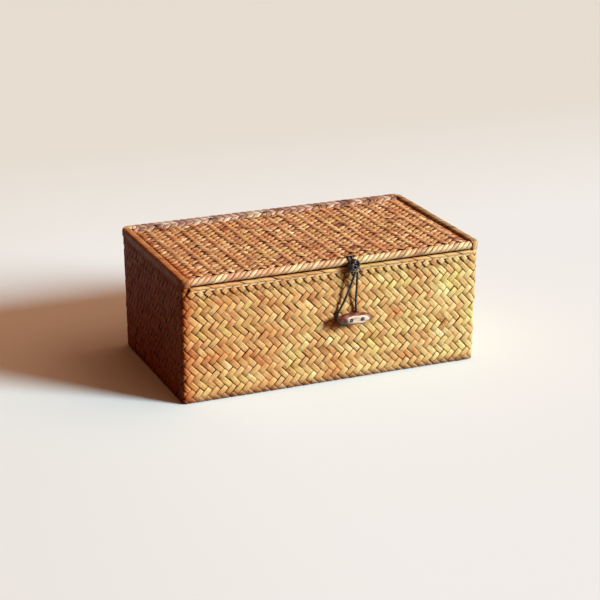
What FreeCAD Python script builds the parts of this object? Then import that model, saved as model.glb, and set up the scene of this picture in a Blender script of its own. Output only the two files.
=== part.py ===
import FreeCAD, Part
import math
import os
import Sketcher

# A plaited straw storage box with an inset lid, closed by a wooden toggle and a waxed cord loop.
# Millimetres, +Z up, X along the box, the front at -Y, the origin at the middle of the floor.

SIZES = {
    # the box
    "rim_width": 326,
    "rim_depth": 194,
    "rim_height": 9.1,
    "rim_thickness": 9.3,
    "rim_round": 3,
    "rim_corner": 7,
    "shell_corner": 5,
    "shell_width": 323,
    "shell_depth_base": 183,
    "shell_depth_top": 190,
    "wall_top": 122.6,
    "outer_layer": 2.2,
    "inner_layer": 2,
    # the folded top edge of the front wall
    "binding_height": 9,
    "binding_thickness": 6.5,
    "binding_round": 2,
    # reeds inside the rolled edges
    "reed_radius": 2,
    "reed_bend": 6,
    "reed_set_back": 4.65,
    "reed_end_gap": 4,
    # the lid
    "lid_gap": 0.3,
    "rope_radius": 4.4,
    "panel_layer": 2.4,
    "panel_lift": 0.2,
    "side_width": 6,
    "side_height": 6.4,
    "side_round": 2.4,
    # the ties of the hinge
    "tie_count": 5,
    "tie_spacing": 62,
    "tie_width": 6,
    "tie_thickness": 0.9,
    "tie_play": 0.3,
    "tie_slack": 0.15,
    "groove_radius": 3.5,
    "groove_side_play": 0.4,
    "notch_reach": 6.6,
    # the toggle
    "toggle_x": 18,
    "toggle_y": -104.5,
    "toggle_z": 70.3,
    "toggle_length": 38,
    "toggle_radius": 6.2,
    "toggle_tip": 1.2,
    "toggle_flat": 0.9,
    "hole_radius": 1.5,
    "hole_spacing": 12.6,
    "bridge_lift": 1.3,
    "leg_gap": 0.1,
    "leg_end": -84.5,
    "wall_hole_radius": 2.3,
    # the waxed cord
    "cord_radius": 0.9,
    "lashing_x": 16.4,
    "lashing_groove": 3.4,
    "lashing_length": 7,
    "lashing_turns": 3,
    "dent_depth": 1.2,
    "knot_x": 17.6,
    "knot_y": -101.9,
    "knot_z": 125.4,
    "knot_wide": 6.8,
    "knot_deep": 4.6,
    "knot_tall": 6.6,
    "tie_knot_y": -86.4,
    "tie_knot_wide": 4,
    "tie_knot_deep": 2.5,
    "tie_knot_tall": 3.2,
}

doc = FreeCAD.newDocument("basket")
sheet = doc.addObject("Spreadsheet::Sheet", "Sizes")
for row, (alias, value) in enumerate(SIZES.items(), start=1):
    sheet.set(f"A{row}", alias)
    sheet.set(f"B{row}", str(value))
    sheet.setAlias(f"B{row}", alias)
doc.recompute()

nodes = []

# Places that several pieces share, as formulas on the sheet.
FRONT = "(-Sizes.rim_depth / 2)"
BACK_INSIDE = "(Sizes.rim_depth / 2 - Sizes.rim_thickness)"
LID_HALF = "(Sizes.rim_width / 2 - Sizes.rim_thickness - Sizes.lid_gap)"
LID_AXIS_Z = "(Sizes.wall_top + Sizes.lid_gap + Sizes.rope_radius)"
FRONT_ROPE_Y = "(-Sizes.rim_depth / 2 + Sizes.rope_radius)"
BACK_ROPE_Y = "(Sizes.rim_depth / 2 - Sizes.rim_thickness - Sizes.lid_gap - Sizes.rope_radius)"
REED_Z = "(Sizes.wall_top + Sizes.reed_set_back)"
BINDING_BOTTOM = "(Sizes.wall_top - Sizes.binding_height)"
NOTCH_HALF = "(Sizes.rim_width / 2 - Sizes.rim_thickness)"
SPARE = 20


def number(formula):
    return float(sheet.evalExpression(formula.replace("Sizes.", "")))


def keep(feature, label):
    feature.Label = label
    nodes.append(feature)
    return feature


# Sketches and features inside a body


def new_sketch(body, name, role, offset=None):
    """A sketch on one of the body's own origin planes, moved along the plane's normal."""
    sketch = body.newObject("Sketcher::SketchObject", name)
    plane = next(item for item in body.Origin.OriginFeatures if item.Role == role)
    sketch.AttachmentSupport = [(plane, "")]
    sketch.MapMode = "FlatFace"
    if offset:
        sketch.setExpression("AttachmentOffset.Base.z", offset)
    return sketch


def bind(sketch, constraint, name, formula):
    index = sketch.addConstraint(constraint)
    sketch.renameConstraint(index, name)
    sketch.setExpression(f"Constraints.{name}", formula)


def rectangle(sketch, left, right, low, high):
    """A rectangle whose four sides lie at the given formulas, measured from the origin."""
    x = [number(left), number(right)]
    y = [number(low), number(high)]
    corners = [(x[0], y[0]), (x[1], y[0]), (x[1], y[1]), (x[0], y[1])]
    points = [FreeCAD.Vector(px, py, 0) for px, py in corners]
    for i in range(4):
        sketch.addGeometry(Part.LineSegment(points[i], points[(i + 1) % 4]), False)
    for i in range(4):
        sketch.addConstraint(Sketcher.Constraint("Coincident", i, 2, (i + 1) % 4, 1))
        kind = "Horizontal" if i % 2 == 0 else "Vertical"
        sketch.addConstraint(Sketcher.Constraint(kind, i))
    places = [
        ("DistanceX", 0, 1, "left", left, x[0]),
        ("DistanceY", 0, 1, "low", low, y[0]),
        ("DistanceX", 2, 1, "right", right, x[1]),
        ("DistanceY", 2, 1, "high", high, y[1]),
    ]
    for kind, line, end, name, formula, value in places:
        bind(sketch, Sketcher.Constraint(kind, -1, 1, line, end, value), name, formula)


def rounded_rectangle(sketch, wide, deep, radius):
    """A centred rectangle with equal round corners."""
    half_w, half_d, bend = number(wide) / 2, number(deep) / 2, number(radius)
    corner = [(half_w, half_d), (-half_w, half_d), (-half_w, -half_d), (half_w, -half_d)]
    for i, (cx, cy) in enumerate(corner):
        centre = FreeCAD.Vector(cx - math.copysign(bend, cx), cy - math.copysign(bend, cy), 0)
        circle = Part.Circle(centre, FreeCAD.Vector(0, 0, 1), bend)
        start = i * math.pi / 2
        sketch.addGeometry(Part.ArcOfCircle(circle, start, start + math.pi / 2), False)
    ends = []
    for i in range(4):
        arc, after = sketch.Geometry[i], sketch.Geometry[(i + 1) % 4]
        ends.append((arc.EndPoint, after.StartPoint))
    for start, end in ends:
        sketch.addGeometry(Part.LineSegment(start, end), False)
    for i in range(4):
        sketch.addConstraint(Sketcher.Constraint("Tangent", i, 2, 4 + i, 1))
        sketch.addConstraint(Sketcher.Constraint("Tangent", 4 + i, 2, (i + 1) % 4, 1))
        kind = "Horizontal" if i % 2 == 0 else "Vertical"
        sketch.addConstraint(Sketcher.Constraint(kind, 4 + i))
    for i in range(1, 4):
        sketch.addConstraint(Sketcher.Constraint("Equal", 0, i))
    sketch.addConstraint(Sketcher.Constraint("Symmetric", 4, 1, 6, 1, -1, 1))
    bind(sketch, Sketcher.Constraint("Radius", 0, bend), "bend", radius)
    bind(sketch, Sketcher.Constraint("DistanceX", 5, 1, 7, 1, 2 * half_w), "wide", wide)
    bind(sketch, Sketcher.Constraint("DistanceY", 6, 1, 4, 1, 2 * half_d), "deep", deep)


def circles(sketch, centres, radius):
    """Circles of one radius at the given pairs of formulas."""
    for i, (x, y) in enumerate(centres):
        at = FreeCAD.Vector(number(x), number(y), 0)
        circle = Part.Circle(at, FreeCAD.Vector(0, 0, 1), number(radius))
        sketch.addGeometry(circle, False)
        bind(sketch, Sketcher.Constraint("Radius", i, number(radius)), f"bore{i}", radius)
        bind(sketch, Sketcher.Constraint("DistanceX", -1, 1, i, 3, at.x), f"across{i}", x)
        bind(sketch, Sketcher.Constraint("DistanceY", -1, 1, i, 3, at.y), f"along{i}", y)


def pad(body, sketch, length, both_ways=False):
    feature = body.newObject("PartDesign::Pad", f"{sketch.Name}_pad")
    feature.Profile = sketch
    feature.Midplane = both_ways
    feature.setExpression("Length", length)
    return feature


def cut_through(body, sketch, reverse=False, both_ways=False):
    """A pocket through everything, which has to make the body smaller."""
    doc.recompute()
    before = body.Shape.Volume
    feature = body.newObject("PartDesign::Pocket", f"{sketch.Name}_cut")
    feature.Profile = sketch
    feature.Type = 1
    feature.Midplane = both_ways
    feature.Reversed = reverse
    doc.recompute()
    if body.Shape.Volume >= before - 0.01:
        raise RuntimeError(f"{feature.Name} cuts nothing")
    return feature


def loft(body, kind, low, high):
    feature = body.newObject(f"PartDesign::{kind}", f"{low.Name}_loft")
    feature.Profile = low
    feature.Sections = [high]
    feature.Ruled = True
    return feature


def round_edges(body, name, radius, wanted):
    """Fillets every edge of the body's last feature that the test picks."""
    doc.recompute()
    base = body.Tip
    picked = [f"Edge{i}" for i, edge in enumerate(base.Shape.Edges, start=1) if wanted(edge)]
    feature = body.newObject("PartDesign::Fillet", name)
    feature.Base = (base, picked)
    feature.setExpression("Radius", radius)
    return feature


# The box's two nested plaited layers


def depth_at(height, inset):
    slope = "(Sizes.shell_depth_top - Sizes.shell_depth_base) / Sizes.wall_top"
    return f"Sizes.shell_depth_base + {slope} * ({height}) - 2 * ({inset})"


def plaited_shell(label, outside, inside, low, floor):
    """Floor and walls between two insets; the walls lean out to front and back."""
    body = doc.addObject("PartDesign::Body", label)
    for kind, inset, start in (("AdditiveLoft", outside, low), ("SubtractiveLoft", inside, floor)):
        sections = []
        for level, height in (("low", start), ("high", "Sizes.wall_top")):
            sketch = new_sketch(body, f"{label}_{kind}_{level}", "XY_Plane", height)
            wide = f"Sizes.shell_width - 2 * ({inset})"
            radius = f"Sizes.shell_corner - ({inset})"
            rounded_rectangle(sketch, wide, depth_at(height, inset), radius)
            sections.append(sketch)
        loft(body, kind, *sections)
        doc.recompute()
    notch = new_sketch(body, f"{label}_notch", "XZ_Plane")
    top = f"Sizes.wall_top + {SPARE}"
    rectangle(notch, f"-{NOTCH_HALF}", NOTCH_HALF, BINDING_BOTTOM, top)
    cut_through(body, notch, reverse=True)
    hole = new_sketch(body, f"{label}_hole", "XZ_Plane")
    circles(hole, [("Sizes.toggle_x", "Sizes.toggle_z")], "Sizes.wall_hole_radius")
    cut_through(body, hole, reverse=True)
    return keep(body, label)


both_layers = "Sizes.outer_layer + Sizes.inner_layer"
plaited_shell("outer_shell", "0", "Sizes.outer_layer", "0", "Sizes.outer_layer")
plaited_shell("inner_shell", "Sizes.outer_layer", both_layers, "Sizes.outer_layer", both_layers)


# The rolled band round the left, back and right walls, and the bent reed inside it

REED_HALF_W = "(Sizes.rim_width / 2 - Sizes.reed_set_back)"
REED_BACK = "(Sizes.rim_depth / 2 - Sizes.reed_set_back)"
REED_FRONT = "(-Sizes.rim_depth / 2 + Sizes.reed_end_gap)"


def reed_route(body, name):
    """The reed's line: along the left wall, round the back corners and along the right wall."""
    sketch = new_sketch(body, name, "XY_Plane", REED_Z)
    half, back, front = number(REED_HALF_W), number(REED_BACK), number(REED_FRONT)
    bend = number("Sizes.reed_bend")
    at = FreeCAD.Vector
    up = at(0, 0, 1)
    left_bend = Part.Circle(at(bend - half, back - bend, 0), up, bend)
    right_bend = Part.Circle(at(half - bend, back - bend, 0), up, bend)
    sketch.addGeometry(Part.LineSegment(at(-half, front, 0), at(-half, back - bend, 0)), False)
    sketch.addGeometry(Part.ArcOfCircle(left_bend, math.pi / 2, math.pi), False)
    sketch.addGeometry(Part.LineSegment(at(bend - half, back, 0), at(half - bend, back, 0)), False)
    sketch.addGeometry(Part.ArcOfCircle(right_bend, 0, math.pi / 2), False)
    sketch.addGeometry(Part.LineSegment(at(half, back - bend, 0), at(half, front, 0)), False)
    for first, end, second, start in ((0, 2, 1, 2), (1, 1, 2, 1), (2, 2, 3, 2), (3, 1, 4, 1)):
        sketch.addConstraint(Sketcher.Constraint("Tangent", first, end, second, start))
    for line in (0, 4):
        sketch.addConstraint(Sketcher.Constraint("Vertical", line))
    sketch.addConstraint(Sketcher.Constraint("Horizontal", 2))
    sketch.addConstraint(Sketcher.Constraint("Equal", 1, 3))
    sketch.addConstraint(Sketcher.Constraint("Symmetric", 0, 1, 4, 2, -2))
    bind(sketch, Sketcher.Constraint("Radius", 1, bend), "bend", "Sizes.reed_bend")
    bind(sketch, Sketcher.Constraint("DistanceX", -1, 1, 4, 2, half), "half", REED_HALF_W)
    bind(sketch, Sketcher.Constraint("DistanceY", -1, 1, 2, 1, back), "back", REED_BACK)
    bind(sketch, Sketcher.Constraint("DistanceY", -1, 1, 4, 2, front), "front", REED_FRONT)
    return sketch


def reed_pipe(body, kind, name):
    route = reed_route(body, f"{name}_route")
    section = new_sketch(body, f"{name}_section", "XZ_Plane", f"-{REED_FRONT}")
    circles(section, [(f"-{REED_HALF_W}", REED_Z)], "Sizes.reed_radius")
    feature = body.newObject(f"PartDesign::{kind}", name)
    feature.Profile = section
    feature.Spine = (route, [])
    return feature


def rim_band():
    body = doc.addObject("PartDesign::Body", "rim_band")
    outline = new_sketch(body, "rim_outline", "XY_Plane", "Sizes.wall_top")
    rounded_rectangle(outline, "Sizes.rim_width", "Sizes.rim_depth", "Sizes.rim_corner")
    pad(body, outline, "Sizes.rim_height")
    top = number("Sizes.wall_top + Sizes.rim_height")
    inside = number(NOTCH_HALF)

    def on_top(edge):
        return all(abs(corner.Point.z - top) < 0.01 for corner in edge.Vertexes)

    def inner_side(edge):
        low, high = edge.BoundBox.XMin, edge.BoundBox.XMax
        return on_top(edge) and low > -inside - 0.01 and high < inside + 0.01 and edge.Length > inside

    round_edges(body, "rim_rounding", "Sizes.rim_round", on_top)
    opening = new_sketch(body, "rim_opening", "XY_Plane", "Sizes.wall_top")
    beyond = f"{FRONT} - {SPARE}"
    rectangle(opening, f"-{NOTCH_HALF}", NOTCH_HALF, beyond, BACK_INSIDE)
    cut_through(body, opening, reverse=True)
    round_edges(body, "rim_inner_rounding", "Sizes.rim_round", inner_side)
    doc.recompute()
    reed_pipe(body, "SubtractivePipe", "rim_band_reed")
    return keep(body, "rim_band")


def rim_rod():
    body = doc.addObject("PartDesign::Body", "rim_rod")
    reed_pipe(body, "AdditivePipe", "rim_rod_reed")
    return keep(body, "rim_rod")


rim_band()
rim_rod()


# Part primitives, for the straight edges


def box(name, left, front, low, length, width, height):
    item = doc.addObject("Part::Box", name)
    for axis, formula in (("x", left), ("y", front), ("z", low)):
        item.setExpression(f".Placement.Base.{axis}", formula)
    for side, formula in (("Length", length), ("Width", width), ("Height", height)):
        item.setExpression(side, formula)
    return item


def bar(name, centre_x, y, z, radius, length):
    """A round bar along X, centred on the given point."""
    item = doc.addObject("Part::Cylinder", name)
    turn = FreeCAD.Rotation(FreeCAD.Vector(0, 1, 0), 90)
    item.Placement = FreeCAD.Placement(FreeCAD.Vector(), turn)
    for axis, formula in (("x", f"{centre_x} - ({length}) / 2"), ("y", y), ("z", z)):
        item.setExpression(f".Placement.Base.{axis}", formula)
    item.setExpression("Radius", radius)
    item.setExpression("Height", length)
    return item


def joined(name, items):
    group = doc.addObject("Part::Compound", name)
    group.Links = items
    return group


def without(name, base, tools):
    """The base with each tool cut out of it, one after the other."""
    result = base
    for i, tool in enumerate(tools, start=1):
        last = i == len(tools)
        step = doc.addObject("Part::Cut", name if last else f"{name}_step{i}")
        step.Base = result
        step.Tool = tool
        result = step
    return result


LASHING_NOTCH = "Sizes.lashing_length + 2 * Sizes.groove_side_play"


def front_binding():
    """The front wall's folded edge: it lies in the low stretch and the lid's rope rests on it."""
    length = f"2 * {NOTCH_HALF}"
    blank = box(
        "binding_blank", f"-{NOTCH_HALF}", FRONT, BINDING_BOTTOM,
        length, "Sizes.binding_thickness", "Sizes.binding_height",
    )
    doc.recompute()
    long_edges = []
    for i, edge in enumerate(blank.Shape.Edges, start=1):
        if edge.BoundBox.XLength > number(NOTCH_HALF):
            long_edges.append(i)
    rounded = doc.addObject("Part::Fillet", "binding_rounded")
    rounded.Base = blank
    bend = number("Sizes.binding_round")
    rounded.Edges = [(i, bend, bend) for i in long_edges]
    middle_y = f"({FRONT} + Sizes.binding_thickness / 2)"
    middle_z = "(Sizes.wall_top - Sizes.binding_height / 2)"
    bore = bar("binding_bore", "0", middle_y, middle_z, "Sizes.reed_radius", length)
    dent = box(
        "binding_dent", f"Sizes.lashing_x - ({LASHING_NOTCH}) / 2", f"{FRONT} - {SPARE}",
        "Sizes.wall_top - Sizes.dent_depth", LASHING_NOTCH, f"2 * {SPARE}", f"{SPARE}",
    )
    keep(without("front_binding_cut", rounded, [bore, dent]), "front_binding")
    reed = bar("front_reed", "0", middle_y, middle_z, "Sizes.reed_radius", length)
    keep(reed, "front_binding_rod")


front_binding()


# The lid's ropes: straw wound round a reed, with a waist wherever a tie or the cord grips it

LID_LENGTH = f"2 * {LID_HALF}"
TIE_GROOVE = "Sizes.tie_width + 2 * Sizes.groove_side_play"
tie_total = int(number("Sizes.tie_count"))
TIE_PLACES = [f"({i - (tie_total - 1) / 2}) * Sizes.tie_spacing" for i in range(tie_total)]


def waist(name, x, y, radius, length):
    """The ring of straw that is missing where the rope is drawn in."""
    outer = bar(f"{name}_outer", x, y, LID_AXIS_Z, "Sizes.rope_radius + 1", length)
    core = bar(f"{name}_core", x, y, LID_AXIS_Z, radius, f"{length} + 1")
    return without(name, outer, [core])


def lid_rope(side, y, waists):
    rope = bar(f"{side}_rope_blank", "0", y, LID_AXIS_Z, "Sizes.rope_radius", LID_LENGTH)
    bore = bar(f"{side}_rope_bore", "0", y, LID_AXIS_Z, "Sizes.reed_radius", LID_LENGTH)
    keep(without(f"{side}_rope_cut", rope, [bore] + waists), f"lid_{side}_rope")
    reed = bar(f"{side}_reed", "0", y, LID_AXIS_Z, "Sizes.reed_radius", LID_LENGTH)
    keep(reed, f"lid_{side}_rod")


lashing_waist = waist(
    "lashing_waist", "Sizes.lashing_x", FRONT_ROPE_Y, "Sizes.lashing_groove", LASHING_NOTCH
)
lid_rope("front", FRONT_ROPE_Y, [lashing_waist])
tie_waists = [
    waist(f"tie_waist{i}", x, BACK_ROPE_Y, "Sizes.groove_radius", TIE_GROOVE)
    for i, x in enumerate(TIE_PLACES)
]
lid_rope("back", BACK_ROPE_Y, [joined("tie_waists", tie_waists)])


def rope_space(name):
    """Both ropes' full round, which the panels and the side edges are shaped to."""
    ropes = []
    for side, y in (("front", FRONT_ROPE_Y), ("back", BACK_ROPE_Y)):
        ropes.append(bar(f"{name}_{side}", "0", y, LID_AXIS_Z, "Sizes.rope_radius", f"{LID_LENGTH} + 2"))
    return joined(name, ropes)


def lid_side(side, left):
    """A folded edge between the ropes, along Y."""
    span = f"{BACK_ROPE_Y} - {FRONT_ROPE_Y}"
    blank = box(
        f"{side}_side_blank", left, FRONT_ROPE_Y, f"{LID_AXIS_Z} - Sizes.side_height / 2",
        "Sizes.side_width", span, "Sizes.side_height",
    )
    doc.recompute()
    along = [i for i, edge in enumerate(blank.Shape.Edges, start=1) if edge.BoundBox.YLength > 1]
    rounded = doc.addObject("Part::Fillet", f"{side}_side_rounded")
    rounded.Base = blank
    bend = number("Sizes.side_round")
    rounded.Edges = [(i, bend, bend) for i in along]
    cut = without(f"{side}_side_cut", rounded, [rope_space(f"{side}_side_ropes")])
    keep(cut, f"lid_side_{side}")


lid_side("left", f"-{LID_HALF}")
lid_side("right", f"{LID_HALF} - Sizes.side_width")


def lid_panel(label, low):
    """One plaited layer, shaped to the ropes and open round the ties and the lashing."""
    half = f"({LID_HALF} - Sizes.side_width)"
    span = f"{BACK_ROPE_Y} - {FRONT_ROPE_Y}"
    blank = box(
        f"{label}_blank", f"-{half}", FRONT_ROPE_Y, low, f"2 * {half}", span, "Sizes.panel_layer"
    )
    notches = [
        box(
            f"{label}_notch{i}", f"{x} - ({TIE_GROOVE}) / 2", f"{BACK_ROPE_Y} - Sizes.notch_reach",
            f"{low} - 1", TIE_GROOVE, f"{SPARE}", "Sizes.panel_layer + 2",
        )
        for i, x in enumerate(TIE_PLACES)
    ]
    slot = box(
        f"{label}_slot", f"Sizes.lashing_x - ({LASHING_NOTCH}) / 2", FRONT_ROPE_Y, f"{low} - 1",
        LASHING_NOTCH, "Sizes.rope_radius + 2 * Sizes.cord_radius", "Sizes.panel_layer + 2",
    )
    tools = [rope_space(f"{label}_ropes"), joined(f"{label}_notches", notches + [slot])]
    keep(without(f"{label}_cut", blank, tools), label)


lid_panel("lid_top_panel", f"({LID_AXIS_Z} + Sizes.panel_lift)")
lid_panel("lid_under_panel", f"({LID_AXIS_Z} + Sizes.panel_lift - Sizes.panel_layer)")


# The hinge ties: a strap round the lid's back rope and the reed in the back rim


def belt(sketch, radii, centres):
    """The outline of a belt round two circles on one level, drawn in the sheet's YZ plane."""
    (big, small), (near, far) = [number(item) for item in radii], [number(item) for item in centres]
    level = number(LID_AXIS_Z)
    lean = math.acos((big - small) / (far - near))
    at = FreeCAD.Vector
    axis = at(0, 0, 1)

    def touch(centre, radius, angle):
        return at(centre + radius * math.cos(angle), level + radius * math.sin(angle), 0)

    first = len(sketch.Geometry)
    round_big = Part.Circle(at(near, level, 0), axis, big)
    round_small = Part.Circle(at(far, level, 0), axis, small)
    top = Part.LineSegment(touch(near, big, lean), touch(far, small, lean))
    bottom = Part.LineSegment(touch(far, small, -lean), touch(near, big, -lean))
    sketch.addGeometry(Part.ArcOfCircle(round_big, lean, 2 * math.pi - lean), False)
    sketch.addGeometry(top, False)
    sketch.addGeometry(Part.ArcOfCircle(round_small, -lean, lean), False)
    sketch.addGeometry(bottom, False)
    joints = ((0, 1, 1, 1), (1, 2, 2, 2), (2, 1, 3, 1), (3, 2, 0, 2))
    for one, end, other, start in joints:
        tangent = Sketcher.Constraint("Tangent", first + one, end, first + other, start)
        sketch.addConstraint(tangent)
    for arc, radius, centre, size in ((0, radii[0], centres[0], big), (2, radii[1], centres[1], small)):
        index = first + arc
        bind(sketch, Sketcher.Constraint("Radius", index, size), f"radius{index}", radius)
        place = number(centre)
        bind(sketch, Sketcher.Constraint("DistanceX", -1, 1, index, 3, place), f"along{index}", centre)
        bind(sketch, Sketcher.Constraint("DistanceY", -1, 1, index, 3, level), f"high{index}", LID_AXIS_Z)


def hinge_ties():
    inner = ("Sizes.groove_radius + Sizes.tie_play", "Sizes.reed_radius + Sizes.tie_slack")
    outer = [f"{radius} + Sizes.tie_thickness" for radius in inner]
    straps = []
    for i, x in enumerate(TIE_PLACES):
        body = doc.addObject("PartDesign::Body", f"tie{i}")
        section = new_sketch(body, f"tie{i}_section", "YZ_Plane", x)
        belt(section, outer, (BACK_ROPE_Y, REED_BACK))
        belt(section, inner, (BACK_ROPE_Y, REED_BACK))
        pad(body, section, "Sizes.tie_width", both_ways=True)
        straps.append(body)
    keep(joined("hinge_straps", straps), "hinge_ties")


hinge_ties()


# The toggle: a spindle cut from a twig, with a flat pared on its face and two drilled holes


def toggle():
    body = doc.addObject("PartDesign::Body", "toggle")
    half, radius, tip = [number(f"Sizes.{key}") for key in ("toggle_length", "toggle_radius", "toggle_tip")]
    half = half / 2
    profile = new_sketch(body, "toggle_profile", "XY_Plane")
    at = FreeCAD.Vector
    reach = (half**2 + (radius - tip) ** 2) / (2 * (radius - tip))
    spread = math.asin(half / reach)
    bow = Part.Circle(at(0, radius - reach, 0), at(0, 0, 1), reach)
    upright = math.pi / 2
    profile.addGeometry(Part.ArcOfCircle(bow, upright - spread, upright + spread), False)
    profile.addGeometry(Part.LineSegment(at(half, tip, 0), at(half, 0, 0)), False)
    profile.addGeometry(Part.LineSegment(at(half, 0, 0), at(-half, 0, 0)), False)
    profile.addGeometry(Part.LineSegment(at(-half, 0, 0), at(-half, tip, 0)), False)
    rise = "(Sizes.toggle_radius - Sizes.toggle_tip)"
    reach_formula = f"((Sizes.toggle_length / 2)^2 + {rise}^2) / (2 * {rise})"
    for one, end, other, start in ((0, 1, 1, 1), (1, 2, 2, 1), (2, 2, 3, 1), (3, 2, 0, 2)):
        profile.addConstraint(Sketcher.Constraint("Coincident", one, end, other, start))
    profile.addConstraint(Sketcher.Constraint("Horizontal", 2))
    profile.addConstraint(Sketcher.Constraint("Vertical", 1))
    profile.addConstraint(Sketcher.Constraint("Vertical", 3))
    profile.addConstraint(Sketcher.Constraint("Symmetric", 2, 1, 2, 2, -1, 1))
    bind(profile, Sketcher.Constraint("DistanceX", 2, 2, 2, 1, 2 * half), "long", "Sizes.toggle_length")
    bind(profile, Sketcher.Constraint("DistanceY", 1, 2, 1, 1, tip), "tip", "Sizes.toggle_tip")
    bind(profile, Sketcher.Constraint("Radius", 0, reach), "bow", reach_formula)
    turned = body.newObject("PartDesign::Revolution", "toggle_turned")
    turned.Profile = profile
    turned.ReferenceAxis = (profile, ["H_Axis"])
    turned.Angle = 360
    flat = new_sketch(body, "toggle_flat", "XY_Plane")
    pared = "(-Sizes.toggle_radius + Sizes.toggle_flat)"
    rectangle(flat, "-Sizes.toggle_length", "Sizes.toggle_length", "-2 * Sizes.toggle_radius", pared)
    cut_through(body, flat, both_ways=True)
    holes = new_sketch(body, "toggle_holes", "XZ_Plane")
    circles(holes, [("-Sizes.hole_spacing / 2", "0"), ("Sizes.hole_spacing / 2", "0")], "Sizes.hole_radius")
    cut_through(body, holes, both_ways=True)
    for axis in "xyz":
        body.setExpression(f".Placement.Base.{axis}", f"Sizes.toggle_{axis}")
    keep(body, "toggle")


toggle()


# Waxed cord: straight runs joined by tangent arcs


def size(alias):
    return float(sheet.get(alias))


def cord_tube(label, points, radius):
    """A round cord along the points, its arcs as large as the runs allow."""
    stops = [FreeCAD.Vector(*point) for point in points]
    edges = []
    start = stops[0]
    radii = []
    for before, corner, after in zip(stops, stops[1:], stops[2:]):
        back, ahead = (before - corner), (after - corner)
        shorter = min(back.Length, ahead.Length)
        turn = math.pi - back.getAngle(ahead)
        trim = 0.45 * shorter
        bend = trim / math.tan(turn / 2)
        radii.append(round(bend, 1))
        back.normalize()
        ahead.normalize()
        enter, leave = corner + back * trim, corner + ahead * trim
        inward = back + ahead
        inward.normalize()
        middle = corner + inward * (bend / math.cos(turn / 2) - bend)
        edges.append(Part.LineSegment(start, enter).toShape())
        edges.append(Part.Arc(enter, middle, leave).toShape())
        start = leave
    edges.append(Part.LineSegment(start, stops[-1]).toShape())
    route = Part.Wire(edges)
    first_run = stops[1] - stops[0]
    section = Part.Wire([Part.Circle(stops[0], first_run, radius).toShape()])
    solid = route.makePipeShell([section], True, True)
    expected = math.pi * radius**2 * route.Length
    if abs(solid.Volume / expected - 1) > 0.01:
        raise RuntimeError(f"{label} isn't a plain tube: {solid.Volume:.1f}, not {expected:.1f}")
    print(label, "length", round(route.Length, 1), "radii", radii)
    return solid


def shaped(label, shape):
    feature = doc.addObject("Part::Feature", label)
    feature.Shape = shape
    return keep(feature, label)


# The closure's loop hangs from the knot, passes behind the toggle and under its tie, and returns.
LOOP_ROUTE = [
    (18.4, -102.9, 118.2),
    (15.6, -101.0, 106.5),
    (11.4, -98.7, 93.5),
    (6.6, -96.5, 81.5),
    (1.8, -95.1, 72.8),
    (3.8, -94.9, 64.2),
    (12.6, -94.8, 60.6),
    (21.6, -94.9, 64.0),
    (23.8, -95.3, 73.2),
    (21.9, -96.9, 84.5),
    (21.9, -99.6, 100.0),
    (20.9, -102.9, 118.2),
]
shaped("closure_loop", cord_tube("closure_loop", LOOP_ROUTE, size("cord_radius")))


def closure_lashing():
    """Turns of cord side by side round the lid's front rope, in its waist."""
    pitch = 2 * size("cord_radius")
    turns = int(size("lashing_turns"))
    rings = []
    for i in range(turns):
        ring = doc.addObject("Part::Torus", f"lashing_turn{i}")
        ring.Placement = FreeCAD.Placement(
            FreeCAD.Vector(), FreeCAD.Rotation(FreeCAD.Vector(0, 1, 0), 90)
        )
        ring.setExpression("Radius1", "Sizes.lashing_groove + Sizes.cord_radius")
        ring.setExpression("Radius2", "Sizes.cord_radius")
        step = (i - (turns - 1) / 2) * pitch
        for axis, formula in (("x", f"Sizes.lashing_x + ({step})"), ("y", FRONT_ROPE_Y), ("z", LID_AXIS_Z)):
            ring.setExpression(f".Placement.Base.{axis}", formula)
        rings.append(ring)
    keep(joined("lashing_turns", rings), "closure_lashing")


closure_lashing()


def closure_knot():
    """The knot's outer shape, hollowed where it sits on the rope and its lashing."""
    ball = doc.addObject("Part::Ellipsoid", "knot_ball")
    for key, formula in (("Radius1", "knot_tall"), ("Radius2", "knot_wide"), ("Radius3", "knot_deep")):
        ball.setExpression(key, f"Sizes.{formula}")
    for axis in "xyz":
        ball.setExpression(f".Placement.Base.{axis}", f"Sizes.knot_{axis}")
    seat = bar(
        "knot_seat", "Sizes.knot_x", FRONT_ROPE_Y, LID_AXIS_Z,
        "Sizes.lashing_groove + 2 * Sizes.cord_radius", "4 * Sizes.knot_wide",
    )
    keep(without("knot_cut", ball, [seat]), "closure_knot")


closure_knot()

# The trimmed ends stick out of the knot's lower sides and point down and outwards.
TAIL_LEFT = [(13.2, -102.6, 121.5), (12.0, -102.6, 118.8), (11.6, -101.8, 115.6)]
TAIL_RIGHT = [(22.6, -102.6, 121.9), (24.8, -102.4, 119.6), (27.0, -101.4, 117.0)]
tails = [cord_tube("closure_tail", route, size("cord_radius")) for route in (TAIL_LEFT, TAIL_RIGHT)]
shaped("closure_tails", Part.Compound(tails))


# The toggle's tie: a leg from each hole, drawn together behind the toggle and through the wall


def toggle_tie():
    x, y, z = size("toggle_x"), size("toggle_y"), size("toggle_z")
    radius = size("cord_radius")
    mouth = y - size("toggle_radius") + size("toggle_flat") + radius
    behind = y + size("toggle_radius") + size("bridge_lift")
    inside = size("leg_end")
    legs = []
    for side in (-1, 1):
        hole = x + side * size("hole_spacing") / 2
        shank = x + side * (radius + size("leg_gap"))
        route = [(hole, mouth, z), (hole, behind, z), (shank, behind, z), (shank, inside, z)]
        legs.append(cord_tube("toggle_tie", route, radius))
    shaped("toggle_tie", Part.Compound(legs))


toggle_tie()


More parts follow.
